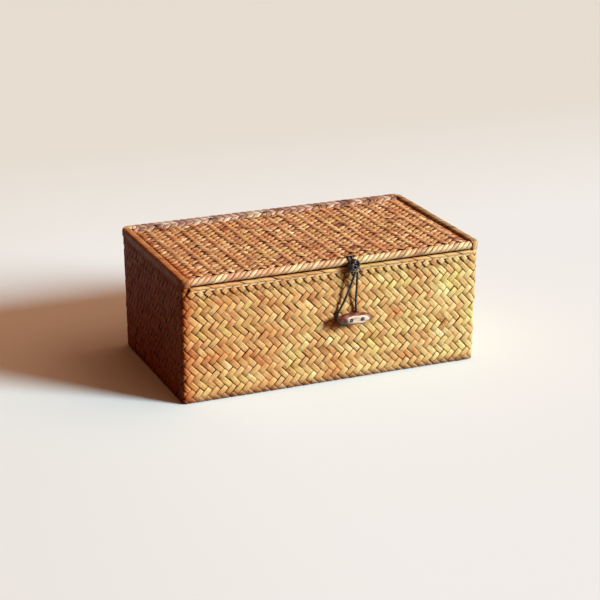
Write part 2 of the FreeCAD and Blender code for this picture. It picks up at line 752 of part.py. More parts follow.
def tie_knot():
    """The knot against the lining that keeps both legs from pulling out."""
    ball = doc.addObject("Part::Ellipsoid", "tie_knot")
    for key, formula in (("Radius1", "tie_knot_tall"), ("Radius2", "tie_knot_wide"), ("Radius3", "tie_knot_deep")):
        ball.setExpression(key, f"Sizes.{formula}")
    ball.setExpression(".Placement.Base.x", "Sizes.toggle_x")
    ball.setExpression(".Placement.Base.y", "Sizes.tie_knot_y")
    ball.setExpression(".Placement.Base.z", "Sizes.toggle_z")
    keep(ball, "toggle_tie_knot")


tie_knot()


# Every object has to be sound before anything is written

doc.recompute()
for item in doc.Objects:
    if "Invalid" in item.State or "Error" in item.State:
        raise RuntimeError(f"{item.Name} failed: {item.State}")
os.makedirs("parts", exist_ok=True)
for node in nodes:
    shape = node.Shape
    if shape.isNull() or not shape.isValid() or not shape.Solids:
        raise RuntimeError(f"{node.Label} has no sound shape")
    shape.exportStep(os.path.join("parts", f"{node.Label}.step"))
    print(node.Label, len(shape.Solids), "solids", round(shape.Volume / 1000, 2), "cm3")
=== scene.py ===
import bmesh
import bpy
import math
import numpy as np
from mathutils import Matrix, Vector


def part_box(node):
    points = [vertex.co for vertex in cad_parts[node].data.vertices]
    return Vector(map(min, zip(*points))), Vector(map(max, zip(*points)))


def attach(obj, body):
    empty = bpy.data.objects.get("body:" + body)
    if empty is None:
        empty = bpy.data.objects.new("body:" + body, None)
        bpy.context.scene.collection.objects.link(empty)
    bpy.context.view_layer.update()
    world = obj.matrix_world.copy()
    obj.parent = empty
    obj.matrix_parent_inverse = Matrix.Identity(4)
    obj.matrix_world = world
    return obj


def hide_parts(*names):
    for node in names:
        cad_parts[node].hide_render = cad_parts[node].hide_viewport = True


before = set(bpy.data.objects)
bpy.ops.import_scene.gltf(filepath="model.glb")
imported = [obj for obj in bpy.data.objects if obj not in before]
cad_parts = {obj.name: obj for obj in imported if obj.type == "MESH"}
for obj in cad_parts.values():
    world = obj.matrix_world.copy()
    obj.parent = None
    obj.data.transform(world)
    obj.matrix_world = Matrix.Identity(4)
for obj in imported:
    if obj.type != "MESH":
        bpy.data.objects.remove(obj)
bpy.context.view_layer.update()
MM = 0.001

# ---------------------------------------------------------------------------------------------
# The studio: a camera in front of the box and to its left, looking down at it, one large soft lamp
# low on the right with a weak warm one above it, warm walls that are lighter on that side, and a
# pale seamless paper floor, with painted shade that darkens it a little to the back and to the left.

camera_turn = math.radians(-22.93)
camera_rise = math.radians(19.62)
camera_away = 1.8766
camera_aim = Vector((0.00218, 0.0, 0.05772))
lens = bpy.data.cameras.new("lens")
lens.lens = 106.8
lens.sensor_width = 36.0
camera = bpy.data.objects.new("camera", lens)
towards_camera = Vector((
    math.sin(camera_turn) * math.cos(camera_rise),
    -math.cos(camera_turn) * math.cos(camera_rise),
    math.sin(camera_rise),
))
camera.location = camera_aim + camera_away * towards_camera
camera.rotation_euler = towards_camera.to_track_quat("Z", "Y").to_euler()
bpy.context.scene.collection.objects.link(camera)
bpy.context.scene.camera = camera
bpy.context.scene.view_settings.view_transform = "Standard"


def lamp(name, turn, rise, spread, strength, colour):
    """A far, round, soft light. turn is its bearing from the front towards +X and rise its height, in
    degrees."""
    light = bpy.data.lights.new(name, "SUN")
    light.energy = strength
    light.color = colour
    light.angle = math.radians(spread)
    holder = bpy.data.objects.new(name, light)
    around, up = math.radians(turn), math.radians(rise)
    towards = Vector((math.sin(around) * math.cos(up), -math.cos(around) * math.cos(up), math.sin(up)))
    holder.rotation_euler = towards.to_track_quat("Z", "Y").to_euler()
    bpy.context.scene.collection.objects.link(holder)


lamp("key_lamp", turn=48.5, rise=21.2, spread=18, strength=7.7, colour=(0.88, 1.0, 1.0))
lamp("warm_lamp", turn=75, rise=48, spread=40, strength=0.55, colour=(1.0, 0.6, 0.35))

room = bpy.data.worlds.new("room")
bpy.context.scene.world = room
room.use_nodes = True
room_nodes, room_links = room.node_tree.nodes, room.node_tree.links
direction = room_nodes.new("ShaderNodeTexCoord")
to_the_right = room_nodes.new("ShaderNodeVectorMath")
to_the_right.operation = "DOT_PRODUCT"
to_the_right.inputs[1].default_value = (0.72, -0.22, 0.62)
room_walls = room_nodes.new("ShaderNodeValToRGB")
room_walls.color_ramp.elements[0].position = 0.0
room_walls.color_ramp.elements[0].color = (0.05, 0.004, 0.001, 1.0)
room_walls.color_ramp.elements[1].position = 0.9
room_walls.color_ramp.elements[1].color = (0.88, 0.40, 0.21, 1.0)
room_middle = room_walls.color_ramp.elements.new(0.36)
room_middle.color = (0.34, 0.105, 0.038, 1.0)
room_links.new(direction.outputs["Generated"], to_the_right.inputs[0])
room_links.new(to_the_right.outputs["Value"], room_walls.inputs["Fac"])
room_links.new(room_walls.outputs["Color"], room_nodes["Background"].inputs["Color"])


def new_object(name, mesh):
    piece = bpy.data.objects.new(name, mesh)
    bpy.context.scene.collection.objects.link(piece)
    return piece


floor_reach = 60.0
floor_corners = [
    (-floor_reach, -floor_reach, 0), (floor_reach, -floor_reach, 0),
    (floor_reach, floor_reach, 0), (-floor_reach, floor_reach, 0),
]
floor_mesh = bpy.data.meshes.new("paper_floor")
floor_mesh.from_pydata(floor_corners, [], [(0, 1, 2, 3)])
floor = new_object("paper_floor", floor_mesh)
floor.location.z = -0.2 * MM
floor.visible_diffuse = False
paper = bpy.data.materials.new("paper")
paper.use_nodes = True
paper_finish = paper.node_tree.nodes["Principled BSDF"]
paper_place = paper.node_tree.nodes.new("ShaderNodeTexCoord")
paper_apart = paper.node_tree.nodes.new("ShaderNodeSeparateXYZ")
paper.node_tree.links.new(paper_place.outputs["Object"], paper_apart.inputs[0])
paper_white = (0.645, 0.735, 0.785)
paper_colour = None
# Painted shade: the plain paper is darkened towards the back and towards the left.
painted_paper_shade = (("Y", 0.35, 0.9, (0.91, 0.86, 0.80)), ("X", -0.1, -0.5, (0.93, 0.92, 0.90)))
for axis, start, stop, tint in painted_paper_shade:
    along = paper.node_tree.nodes.new("ShaderNodeMapRange")
    along.inputs["From Min"].default_value = start
    along.inputs["From Max"].default_value = stop
    paper.node_tree.links.new(paper_apart.outputs[axis], along.inputs["Value"])
    tinted = paper.node_tree.nodes.new("ShaderNodeMix")
    tinted.data_type = "RGBA"
    tinted.blend_type = "MULTIPLY"
    paper.node_tree.links.new(along.outputs["Result"], tinted.inputs[0])
    if paper_colour is None:
        tinted.inputs[6].default_value = (*paper_white, 1.0)
    else:
        paper.node_tree.links.new(paper_colour, tinted.inputs[6])
    tinted.inputs[7].default_value = (*tint, 1.0)
    paper_colour = tinted.outputs[2]
paper.node_tree.links.new(paper_colour, paper_finish.inputs["Base Color"])
paper_finish.inputs["Roughness"].default_value = 0.9
paper_finish.inputs["Specular IOR Level"].default_value = 0.1
floor_mesh.materials.append(paper)

# ---------------------------------------------------------------------------------------------
# The closure loop: one doubled length of waxed black cord of two plies. It leaves the knot on the
# lid's front edge, runs down the front wall, passes behind the toggle and comes back up. Its plies
# and their wax stand out past its bare thickness.

loop_route = [
    (18.4, -102.9, 118.2), (15.6, -101.0, 106.5), (11.4, -98.7, 93.5), (6.6, -96.5, 81.5),
    (1.8, -95.1, 72.8), (3.8, -94.9, 64.2), (12.6, -94.8, 60.6), (21.6, -94.9, 64.0),
    (23.8, -95.3, 73.2), (21.9, -96.9, 84.5), (21.9, -99.6, 100.0), (20.9, -102.9, 118.2),
]
cord_radius = 0.9
loop_swelling = 0.58


def cord_line(name, route):
    """A smooth open curve that takes the route's points, in millimetres, as its control points."""
    data = bpy.data.curves.new(name, "CURVE")
    data.dimensions = "3D"
    spline = data.splines.new("NURBS")
    spline.points.add(len(route) - 1)
    for point, place in zip(spline.points, route):
        point.co = (*(MM * c for c in place), 1.0)
    spline.order_u = 3
    spline.use_endpoint_u = True
    spline.resolution_u = 8
    return data


def line_points(name, route):
    """The places that the curve's line passes, in millimetres."""
    holder = bpy.data.objects.new(name, cord_line(name, route))
    bpy.context.scene.collection.objects.link(holder)
    bpy.context.view_layer.update()
    traced = bpy.data.meshes.new_from_object(holder)
    points = np.array([v.co for v in traced.vertices]) / MM
    bpy.data.objects.remove(holder)
    return points


def spaced(points, step):
    """The same line with its points evenly spaced."""
    gaps = np.linalg.norm(np.diff(points, axis=0), axis=1)
    run = np.concatenate([[0], np.cumsum(gaps)])
    count = max(3, int(round(run[-1] / step)) + 1)
    even = np.linspace(0, run[-1], count)
    return np.column_stack([np.interp(even, run, points[:, k]) for k in range(3)]), even


def side_vectors(points):
    """Along, across and up directions at each point of a line, carried along without twist."""
    along = np.gradient(points, axis=0)
    along /= np.linalg.norm(along, axis=1)[:, None]
    start = np.array([1.0, 0, 0]) if abs(along[0, 0]) < 0.8 else np.array([0, 0, 1.0])
    across = []
    for direction in along:
        start = start - direction * (start @ direction)
        start = start / np.linalg.norm(start)
        across.append(start)
    across = np.array(across)
    return along, across, np.cross(along, across)


def tube_rings(points, radius, sides):
    """Vertices of a round tube: one ring at each point."""
    _, across, up = side_vectors(points)
    turn = np.linspace(0, 2 * np.pi, sides, endpoint=False)
    radius = np.broadcast_to(np.asarray(radius, float), (len(points),))
    ring = np.cos(turn)[None, :, None] * across[:, None] + np.sin(turn)[None, :, None] * up[:, None]
    return points[:, None] + radius[:, None, None] * ring


class Heap:
    """Vertices, faces and per-vertex notes of one piece, gathered before its mesh is made."""

    def __init__(self):
        self.places, self.faces, self.grains, self.tones, self.depths, self.count = [], [], [], [], [], 0

    def add_grid(self, grid, grain, tone, depth, closed=False, capped=False):
        """grid is rows x columns x 3 in millimetres. closed joins its last column to its first."""
        rows, columns = grid.shape[:2]
        numbers = self.count + np.arange(rows * columns).reshape(rows, columns)
        if closed:
            numbers = np.concatenate([numbers, numbers[:, :1]], axis=1)
        quads = np.stack([numbers[:-1, :-1], numbers[:-1, 1:], numbers[1:, 1:], numbers[1:, :-1]], axis=-1)
        self.faces.extend(quads.reshape(-1, 4).tolist())
        if capped:
            self.faces.append(numbers[0, :columns][::-1].tolist())
            self.faces.append(numbers[-1, :columns].tolist())
        self.places.append(grid.reshape(-1, 3))
        self.grains.append(np.broadcast_to(grain, grid.shape).reshape(-1, 3))
        self.tones.append(np.broadcast_to(tone, grid.shape[:2]).reshape(-1))
        self.depths.append(np.broadcast_to(depth, grid.shape[:2]).reshape(-1))
        self.count += rows * columns

    def add_many(self, grids, grain, tone, depth):
        """grids is pieces x rows x columns x 3: many small open grids at once."""
        pieces, rows, columns = grids.shape[:3]
        numbers = self.count + np.arange(pieces * rows * columns).reshape(pieces, rows, columns)
        quads = np.stack(
            [numbers[:, :-1, :-1], numbers[:, :-1, 1:], numbers[:, 1:, 1:], numbers[:, 1:, :-1]], axis=-1
        )
        self.faces.extend(quads.reshape(-1, 4).tolist())
        self.places.append(grids.reshape(-1, 3))
        self.grains.append(grain.reshape(-1, 3))
        self.tones.append(tone.reshape(-1))
        self.depths.append(depth.reshape(-1))
        self.count += pieces * rows * columns

    def piece(self, name, material):
        mesh = bpy.data.meshes.new(name)
        places = np.concatenate(self.places) * MM
        mesh.from_pydata(places.tolist(), [], self.faces)
        grain = mesh.attributes.new("grain", "FLOAT_VECTOR", "POINT")
        grain.data.foreach_set("vector", np.concatenate(self.grains).astype(np.float32).ravel())
        for label, values in (("tone", self.tones), ("depth", self.depths)):
            note = mesh.attributes.new(label, "FLOAT", "POINT")
            note.data.foreach_set("value", np.concatenate(values).astype(np.float32))
        mesh.polygons.foreach_set("use_smooth", [True] * len(mesh.polygons))
        mesh.materials.append(material)
        return new_object(name, mesh)


class Finish:
    """A material's nodes, added one after another."""

    def __init__(self, name):
        self.material = bpy.data.materials.new(name)
        self.material.use_nodes = True
        self.tree = self.material.node_tree
        self.shader = self.tree.nodes["Principled BSDF"]

    def node(self, kind, **settings):
        made = self.tree.nodes.new(kind)
        for key, value in settings.items():
            setattr(made, key, value)
        return made

    def join(self, start, end):
        self.tree.links.new(start, end)

    def note(self, label):
        """A per-vertex note of the mesh."""
        return self.node("ShaderNodeAttribute", attribute_name=label)

    def noise(self, place, scale, detail=2.0, roughness=0.5):
        made = self.node("ShaderNodeTexNoise")
        made.inputs["Scale"].default_value = scale
        made.inputs["Detail"].default_value = detail
        made.inputs["Roughness"].default_value = roughness
        self.join(place, made.inputs["Vector"])
        return made.outputs["Fac"]

    def stretched(self, place, scale):
        made = self.node("ShaderNodeMapping")
        made.inputs["Scale"].default_value = scale
        self.join(place, made.inputs["Vector"])
        return made.outputs["Vector"]

    def ranged(self, value, low, high, low_out, high_out):
        made = self.node("ShaderNodeMapRange")
        limits = (("From Min", low), ("From Max", high), ("To Min", low_out), ("To Max", high_out))
        for key, number in limits:
            made.inputs[key].default_value = number
        self.join(value, made.inputs["Value"])
        return made.outputs["Result"]

    def ramp(self, value, stops):
        made = self.node("ShaderNodeValToRGB")
        line = made.color_ramp
        while len(line.elements) < len(stops):
            line.elements.new(0.5)
        for element, (place, colour) in zip(line.elements, stops):
            element.position = place
            element.color = (*colour, 1.0)
        self.join(value, made.inputs["Fac"])
        return made.outputs["Color"]

    def mixed(self, first, second, amount, how="MIX"):
        """first and second are colours or sockets; amount is a number or a socket."""
        made = self.node("ShaderNodeMix", data_type="RGBA", blend_type=how)
        for socket, value in ((made.inputs[6], first), (made.inputs[7], second), (made.inputs[0], amount)):
            if isinstance(value, bpy.types.NodeSocket):
                self.join(value, socket)
            elif isinstance(value, tuple):
                socket.default_value = (*value, 1.0)
            else:
                socket.default_value = value
        return made.outputs[2]

    def sum(self, first, second, how="ADD"):
        made = self.node("ShaderNodeMath", operation=how)
        for socket, value in zip(made.inputs, (first, second)):
            if isinstance(value, bpy.types.NodeSocket):
                self.join(value, socket)
            else:
                socket.default_value = value
        return made.outputs[0]

    def colour(self, socket):
        self.join(socket, self.shader.inputs["Base Color"])

    def roughness(self, socket):
        self.join(socket, self.shader.inputs["Roughness"])

    def relief(self, height, deep_mm, strength):
        made = self.node("ShaderNodeBump")
        made.inputs["Distance"].default_value = deep_mm * MM
        made.inputs["Strength"].default_value = strength
        self.join(height, made.inputs["Height"])
        self.join(made.outputs["Normal"], self.shader.inputs["Normal"])

    def gloss(self, **numbers):
        for key, value in numbers.items():
            self.shader.inputs[key.replace("_", " ")].default_value = value


def waxed_cord_finish():
    """Black waxed thread: nearly black, with a dark grey bloom of wax and a bright narrow shine."""
    finish = Finish("waxed_black_cord")
    grain = finish.note("grain").outputs["Vector"]
    fibres = finish.noise(finish.stretched(grain, (0.6, 5.0, 1.0)), 1.0, detail=4.0)
    bloom = finish.noise(grain, 0.35, detail=3.0)
    blacks = finish.ramp(fibres, [(0.3, (0.004, 0.003, 0.004)), (0.7, (0.018, 0.013, 0.015))])
    finish.colour(finish.mixed(blacks, (0.05, 0.035, 0.04), finish.ranged(bloom, 0.5, 0.75, 0.0, 0.5)))
    finish.roughness(finish.ranged(fibres, 0.3, 0.7, 0.22, 0.4))
    finish.relief(fibres, 0.15, 0.6)
    finish.gloss(Specular_IOR_Level=0.5, Coat_Weight=0.2, Coat_Roughness=0.18)
    return finish.material


waxed_cord = waxed_cord_finish()


def add_cord(heap, points, radius, seed):
    """Two plies laid round one another along a line. twist is the length of one full turn."""
    twist, sides = 4.2, 8
    line, run = spaced(points, 0.55)
    _, across, up = side_vectors(line)
    ply = radius * 0.62
    for side in (0, math.pi):
        turn = 2 * np.pi * run / twist + side
        offset = (radius - ply) * (np.cos(turn)[:, None] * across + np.sin(turn)[:, None] * up)
        rings = tube_rings(line + offset, ply, sides)
        grain = np.zeros(rings.shape)
        grain[..., 0] = run[:, None]
        grain[..., 1] = np.linspace(0, 2 * np.pi * ply, sides, endpoint=False)[None]
        grain[..., 2] = seed + side
        heap.add_grid(rings, grain, 0.5, 0.0, closed=True, capped=True)


loop_line = line_points("loop_line", loop_route)
loop_heap = Heap()
add_cord(loop_heap, loop_line, cord_radius + loop_swelling, seed=1.0)
closure_loop = loop_heap.piece("closure_loop_cord", waxed_cord)
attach(closure_loop, "loop")
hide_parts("closure_loop")

# ---------------------------------------------------------------------------------------------
# The outer walls and base: flat straws plaited on the slant, over two and under two, so that they
# float in level rows that lean left and right by turns. The straws run on round the corners and
# under the bottom edge.

straw_pitch = 6.14
wall_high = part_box("outer_shell")[1] / MM
wall_half_x = wall_high.x
wall_top = wall_high.z
wall_half_y_top = wall_high.y
wall_half_y_base = 91.5
wall_corner = 4.5
bottom_round = 2.5
float_arch = 0.45
draw = np.random.default_rng(7)


def twill_floats(pitch, low, high, upright=False):
    """Centre (u, v), heading and strip number of each float of a two-over-two twill over a patch."""
    reach = int(2 + (abs(high[0]) + abs(low[0]) + abs(high[1]) + abs(low[1])) * 1.5 / pitch)
    first, second = np.meshgrid(np.arange(-reach, reach), np.arange(-reach, reach), indexing="ij")
    found = []
    sign = -1 if upright else 1
    rising = (first + sign * second) % 4 == 0
    falling = (first + sign * second) % 4 == (3 if upright else 2)
    for chosen, shift, heading, strip in (
        (rising, (1.0, 0.5), math.pi / 4, second), (falling, (0.5, 1.0), 3 * math.pi / 4, first)
    ):
        a = (first[chosen] + shift[0]) * pitch
        b = (second[chosen] + shift[1]) * pitch
        u, v = (a - b) / math.sqrt(2), (a + b) / math.sqrt(2)
        inside = (u >= low[0]) & (u < high[0]) & (v >= low[1]) & (v < high[1])
        found.append(np.column_stack([
            u[inside], v[inside], np.full(inside.sum(), heading), strip[chosen][inside]
        ]))
    return np.concatenate(found)


def float_shape(pitch, sink=1.35, crown=(0.1, 0.85), dive=0.86):
    """One float as a grid: along, across and height. Its long edges roll down by crown, and its ends
    dive by sink from the part dive of its half length on."""
    along = np.array([-1.25, -1.08, -1.0, -0.9, -0.3, 0.3, 0.9, 1.0, 1.08, 1.25]) * pitch
    across = np.array([-1, -0.96, -0.84, -0.35, 0.35, 0.84, 0.96, 1])
    s, t = np.meshgrid(along, across, indexing="ij")
    fall = np.clip((np.abs(s) / pitch - dive) / (1.16 - dive), 0, 1)
    fall = fall * fall * (3 - 2 * fall)
    height = -sink * fall - crown[0] * t**2 - crown[1] * np.abs(t) ** 22 - float_arch * (s / pitch) ** 2
    return s, t * pitch / 2, height


def plaited(heap, floats, pitch, place, tone_of, crest=0.0, shape=None, sway=1.0):
    """Adds floats to a heap. place(u, v, h) gives points on the piece, h above its surface. sway is how
    unevenly they lie, and crest how far they stand out."""
    s, t, height = shape or float_shape(pitch)
    count = len(floats)
    heading = floats[:, 2] + sway * draw.normal(0, 0.03, count)
    u = floats[:, 0] + sway * draw.normal(0, 0.16, count)
    v = floats[:, 1] + sway * draw.normal(0, 0.16, count)
    wide = 1 + sway * draw.normal(0, 0.045, count)
    lift = crest + sway * draw.normal(0, 0.1, count)
    bulge = 1 + sway * draw.normal(0, 0.25, count)
    tip = sway * draw.normal(0, 0.02, count)
    cos, sin = np.cos(heading)[:, None, None], np.sin(heading)[:, None, None]
    across = t[None] * wide[:, None, None]
    gu = u[:, None, None] + s[None] * cos - across * sin
    gv = v[:, None, None] + s[None] * sin + across * cos
    gh = lift[:, None, None] + height[None] * bulge[:, None, None] + tip[:, None, None] * across
    seed = draw.uniform(0, 100, count)
    grain = np.stack([
        np.broadcast_to(s[None], gu.shape) + 37 * seed[:, None, None], across + 0 * gu,
        np.broadcast_to(seed[:, None, None], gu.shape)
    ], axis=-1)
    tone = np.clip(tone_of(floats), 0, 1)
    depth = np.clip((-height - float_arch * (s / pitch) ** 2) / 1.3, 0, 1)
    heap.add_many(
        place(gu, gv, gh), grain, np.broadcast_to(tone[:, None, None], gu.shape),
        np.broadcast_to(depth[None], gu.shape)
    )


CORNER_X = np.array([0, -1, -1, -1, -1, 1, 1, 1, 1, 0])
CORNER_Y = np.array([1, 1, 1, -1, -1, -1, -1, 1, 1, 1])
CORNER_TURN = np.radians([90, 90, 180, 180, 270, 270, 360, 360, 450, 450])


def outline_runs(half_x, half_y, radius):
    """Distance round a rounded rectangle at each end of its straights, from the middle of the back."""
    bend = math.pi / 2 * radius
    half, side = half_x - radius, 2 * (half_y - radius)
    return np.cumsum([0, half, bend, side, bend, 2 * half, bend, side, bend, half])


def round_outline(u, runs, half_x, half_y, radius, out):
    """Point at distance u round the rectangle, out beyond its outline."""
    turn = np.interp(u, runs, CORNER_TURN)
    x = np.interp(u, runs, CORNER_X) * (half_x - radius) + (radius + out) * np.cos(turn)
    y = np.interp(u, runs, CORNER_Y) * (half_y - radius) + (radius + out) * np.sin(turn)
    return x, y


def wall_half_y(z):
    return wall_half_y_base + (wall_half_y_top - wall_half_y_base) * np.clip(z / wall_top, 0, 1)


wall_runs = outline_runs(wall_half_x, (wall_half_y_base + wall_half_y_top) / 2, wall_corner)
straws_round = round(wall_runs[-1] / (straw_pitch * math.sqrt(2)))
wall_pitch = wall_runs[-1] / straws_round / math.sqrt(2)


def on_wall(u, v, h):
    """v is the distance up the wall from where it leaves the rounded bottom edge."""
    u = np.mod(u, wall_runs[-1])
    under = np.clip(-v / bottom_round, 0, math.pi / 2)
    beyond = np.clip(-v - bottom_round * math.pi / 2, 0, None)
    z = bottom_round + np.clip(v, 0, None) - (bottom_round + h) * np.sin(under)
    out = (bottom_round + h) * np.cos(under) - bottom_round - beyond
    x, y = round_outline(u, wall_runs, wall_half_x, wall_half_y(z), wall_corner, out)
    return np.stack([x, y, z], axis=-1)


def on_level(z, facing=1):
    """Points on a level surface at height z whose outside faces up (1) or down (-1)."""
    def place(u, v, h):
        return np.stack([u, v * facing, z + facing * h + 0 * u], axis=-1)
    return place


def strip_tones(strips, spread, count):
    """One tone for each straw, the same wherever it shows."""
    base = draw.normal(0, spread, count)
    return base[strips.astype(int) % count]


def straw_tone(floats, middle=0.52, strip_spread=0.06, float_spread=0.1):
    tones = middle + strip_tones(floats[:, 3] * 2 + (floats[:, 2] > 1), strip_spread, 997)
    return tones + draw.normal(0, float_spread, len(floats))


def straw_finish(
    name, tones, left, right, fibre=0.27, flecks=0.5, dark=(0.05, 0.014, 0.007), shine=0.3,
    painted_left_shade=(0.9, 0.56, 0.43)
):
    """Dried straw: each strip its own tone from red-brown to cream, with long fibres and brown flecks,
    and painted shade down in the gaps, darkest where the straw lies deepest. left and right tint the
    box from its left end to its right end. The left wall is darkened with painted shade, as it faces
    away from the lamps, and the foot of every wall with a painted contact shadow."""
    finish = Finish(name)
    grain = finish.note("grain").outputs["Vector"]
    where = finish.node("ShaderNodeTexCoord").outputs["Object"]
    long_fibres = finish.noise(finish.stretched(grain, (0.11, 0.85, 1.0)), 1.0, detail=4.0, roughness=0.7)
    fine_fibres = finish.noise(finish.stretched(grain, (0.2, 2.4, 1.0)), 1.0, detail=3.0, roughness=0.6)
    patch = finish.noise(where, 60.0, detail=4.0, roughness=0.6)
    warmth = finish.noise(where, 34.0, detail=3.0, roughness=0.6)
    speck = finish.noise(finish.stretched(grain, (0.3, 0.8, 1.0)), 1.0, detail=3.0, roughness=0.65)
    apart = finish.node("ShaderNodeSeparateXYZ")
    finish.join(where, apart.inputs[0])
    tone = finish.sum(finish.note("tone").outputs["Fac"], finish.ranged(patch, 0.3, 0.7, -0.2, 0.2))
    colour = finish.ramp(finish.sum(tone, finish.ranged(long_fibres, 0.25, 0.75, -fibre, fibre)), tones)
    end_to_end = finish.ranged(apart.outputs["X"], -0.16, 0.16, 0.0, 1.0)
    colour = finish.mixed(colour, finish.mixed(left, right, end_to_end), 1.0, "MULTIPLY")
    # Painted shade: the left wall, which faces away from the lamps, is darkened and reddened.
    left_end = finish.ranged(apart.outputs["X"], -0.158, -0.143, 1.0, 0.0)
    colour = finish.mixed(colour, painted_left_shade, left_end, "MULTIPLY")
    # Painted contact shadow: the lowest few millimetres of every wall are darkened.
    painted_foot_shadow = finish.ranged(apart.outputs["Z"], 0.001, 0.0075, 0.9, 0.0)
    colour = finish.mixed(colour, (0.45, 0.24, 0.2), painted_foot_shadow, "MULTIPLY")
    redder = finish.ranged(warmth, 0.52, 0.66, 0.0, 0.8)
    colour = finish.mixed(colour, (1.0, 0.80, 0.66), redder, "MULTIPLY")
    greener = finish.ranged(warmth, 0.48, 0.34, 0.0, 0.8)
    colour = finish.mixed(colour, (0.97, 1.08, 0.86), greener, "MULTIPLY")
    flecked = finish.ranged(speck, 0.6, 0.74, 0.0, flecks)
    colour = finish.mixed(colour, (0.45, 0.2, 0.12), flecked, "MULTIPLY")
    fine = finish.ranged(fine_fibres, 0.3, 0.52, 0.6, 1.03)
    colour = finish.mixed(colour, fine, 1.0, "MULTIPLY")
    # Painted shade in the gaps: the deeper a point lies below its float's crest, the nearer it is painted to
    # the dark colour.
    low = finish.note("depth").outputs["Fac"]
    colour = finish.mixed(colour, dark, finish.ranged(low, 0.24, 0.58, 0.0, 0.98))
    finish.colour(colour)
    finish.roughness(finish.ranged(long_fibres, 0.3, 0.7, 0.42, 0.62))
    finish.relief(finish.sum(long_fibres, finish.sum(fine_fibres, 0.5, "MULTIPLY")), 0.5, 0.6)
    finish.gloss(Specular_IOR_Level=shine, Sheen_Weight=0.02, Sheen_Roughness=0.4)
    return finish.material


warm_tones = [
    (0.0, (0.22, 0.065, 0.022)), (0.2, (0.40, 0.165, 0.055)), (0.48, (0.50, 0.265, 0.098)),
    (0.75, (0.56, 0.35, 0.135)), (1.0, (0.66, 0.50, 0.26)),
]
outer_straw = straw_finish(
    "outer_straw", warm_tones, left=(0.94, 0.9, 0.92), right=(1.07, 1.35, 1.48), shine=0.14
)


def wall_backing(heap, out, low, high):
    """The hidden inner half of the plait: a plain skin under the floats of the walls, painted the dark gap
    shade all over, as the shade seen through the gaps.
    """
    u = np.linspace(0, wall_runs[-1], 241)[None, :-1] + np.zeros((3, 1))
    v = np.array([low, 0.5 * (low + high), high])[:, None] + np.zeros_like(u)
    grid = on_wall(u, v, np.full(u.shape, out))
    heap.add_grid(grid, np.stack([u, v, 0 * u], axis=-1), 0.1, 0.85, closed=True)


def level_backing(heap, z, half_x, low_y, high_y):
    """The same skin on the level, at height z, painted the same dark gap shade."""
    x = np.linspace(-half_x, half_x, 25)[None] + np.zeros((13, 1))
    y = np.linspace(low_y, high_y, 13)[:, None] + np.zeros_like(x)
    grid = np.stack([x, y, np.full(x.shape, z)], axis=-1)
    heap.add_grid(grid, np.stack([x, y, 0 * x], axis=-1), 0.1, 0.85)


binding_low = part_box("front_binding")[0].z / MM
binding_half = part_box("front_binding")[1].x / MM
front_middle = (wall_runs[4] + wall_runs[5]) / 2
front_start, front_end = front_middle - binding_half + 1, front_middle + binding_half - 1
tucked_under = 4
wall_floats = twill_floats(wall_pitch, (0, -tucked_under), (wall_runs[-1], wall_top))
on_front = (wall_floats[:, 0] > front_start) & (wall_floats[:, 0] < front_end)
fold_floats = wall_floats[wall_floats[:, 1] > wall_top - 5]
wall_floats = wall_floats[~on_front | (wall_floats[:, 1] < binding_low - bottom_round + 1)]
outer_heap = Heap()
plaited(outer_heap, wall_floats, wall_pitch, on_wall, straw_tone, crest=0.15)
wall_backing(outer_heap, -1.55, 0.0, binding_low - bottom_round - 1)
outer_walls = outer_heap.piece("outer_walls", outer_straw)
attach(outer_walls, "basket")
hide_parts("outer_shell")

base_half_x = wall_half_x - bottom_round
base_half_y = wall_half_y_base - bottom_round
base_inset = 4.0
base_heap = Heap()
base_floats = twill_floats(
    straw_pitch, (base_inset - base_half_x, base_inset - base_half_y),
    (base_half_x - base_inset, base_half_y - base_inset)
)
plaited(base_heap, base_floats, straw_pitch, on_level(0.25, -1), straw_tone, crest=-0.35)
level_backing(base_heap, 1.75, base_half_x, -base_half_y, base_half_y)
base = base_heap.piece("base", outer_straw)
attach(base, "basket")

# ---------------------------------------------------------------------------------------------
# The lid's top: the same plait turned a quarter, so that its rows run from back to front. It is
# browner than the walls, and its tones reach darker and paler than theirs, painted contrast for the low
# light raking across it. Its straws are cut off along the edges.


def tidy_mesh(piece):
    """Drops the edges and faces that clipping has flattened to nothing, and the points left over."""
    work = bmesh.new()
    work.from_mesh(piece.data)
    bmesh.ops.dissolve_degenerate(work, dist=0.02 * MM, edges=work.edges[:])
    bmesh.ops.delete(work, geom=[v for v in work.verts if not v.link_faces], context="VERTS")
    work.to_mesh(piece.data)
    work.free()


lid_pitch = 5.9
lid_margin = 1.0
lid_side_margin = 4.6
lid_low, lid_high = (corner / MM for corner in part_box("lid_top_panel"))
lid_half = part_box("lid_front_rope")[1].x / MM
# Partly painted light: the wide span of these tones, from near black to cream, stands in for the contrast of
# the low raking light.
lid_tones = [
    (0.0, (0.10, 0.03, 0.02)), (0.2, (0.32, 0.11, 0.055)), (0.46, (0.51, 0.245, 0.105)),
    (0.72, (0.64, 0.38, 0.18)), (1.0, (0.80, 0.60, 0.37)),
]
lid_straw = straw_finish(
    "lid_straw", lid_tones, left=(0.88, 0.88, 0.84), right=(1.03, 1.1, 1.16), fibre=0.3, flecks=1.0,
    dark=(0.045, 0.01, 0.008)
)


def on_lid(u, v, h):
    """The top of the lid, cut off at its two ends. It drops towards the back, to pass under the rim."""
    cut = lid_half - 0.3
    drop = 0.7 * np.clip((v - lid_high.y + 13) / 7, 0, 1)
    return on_level(lid_high.z)(np.clip(u, -cut, cut), v, h - drop)


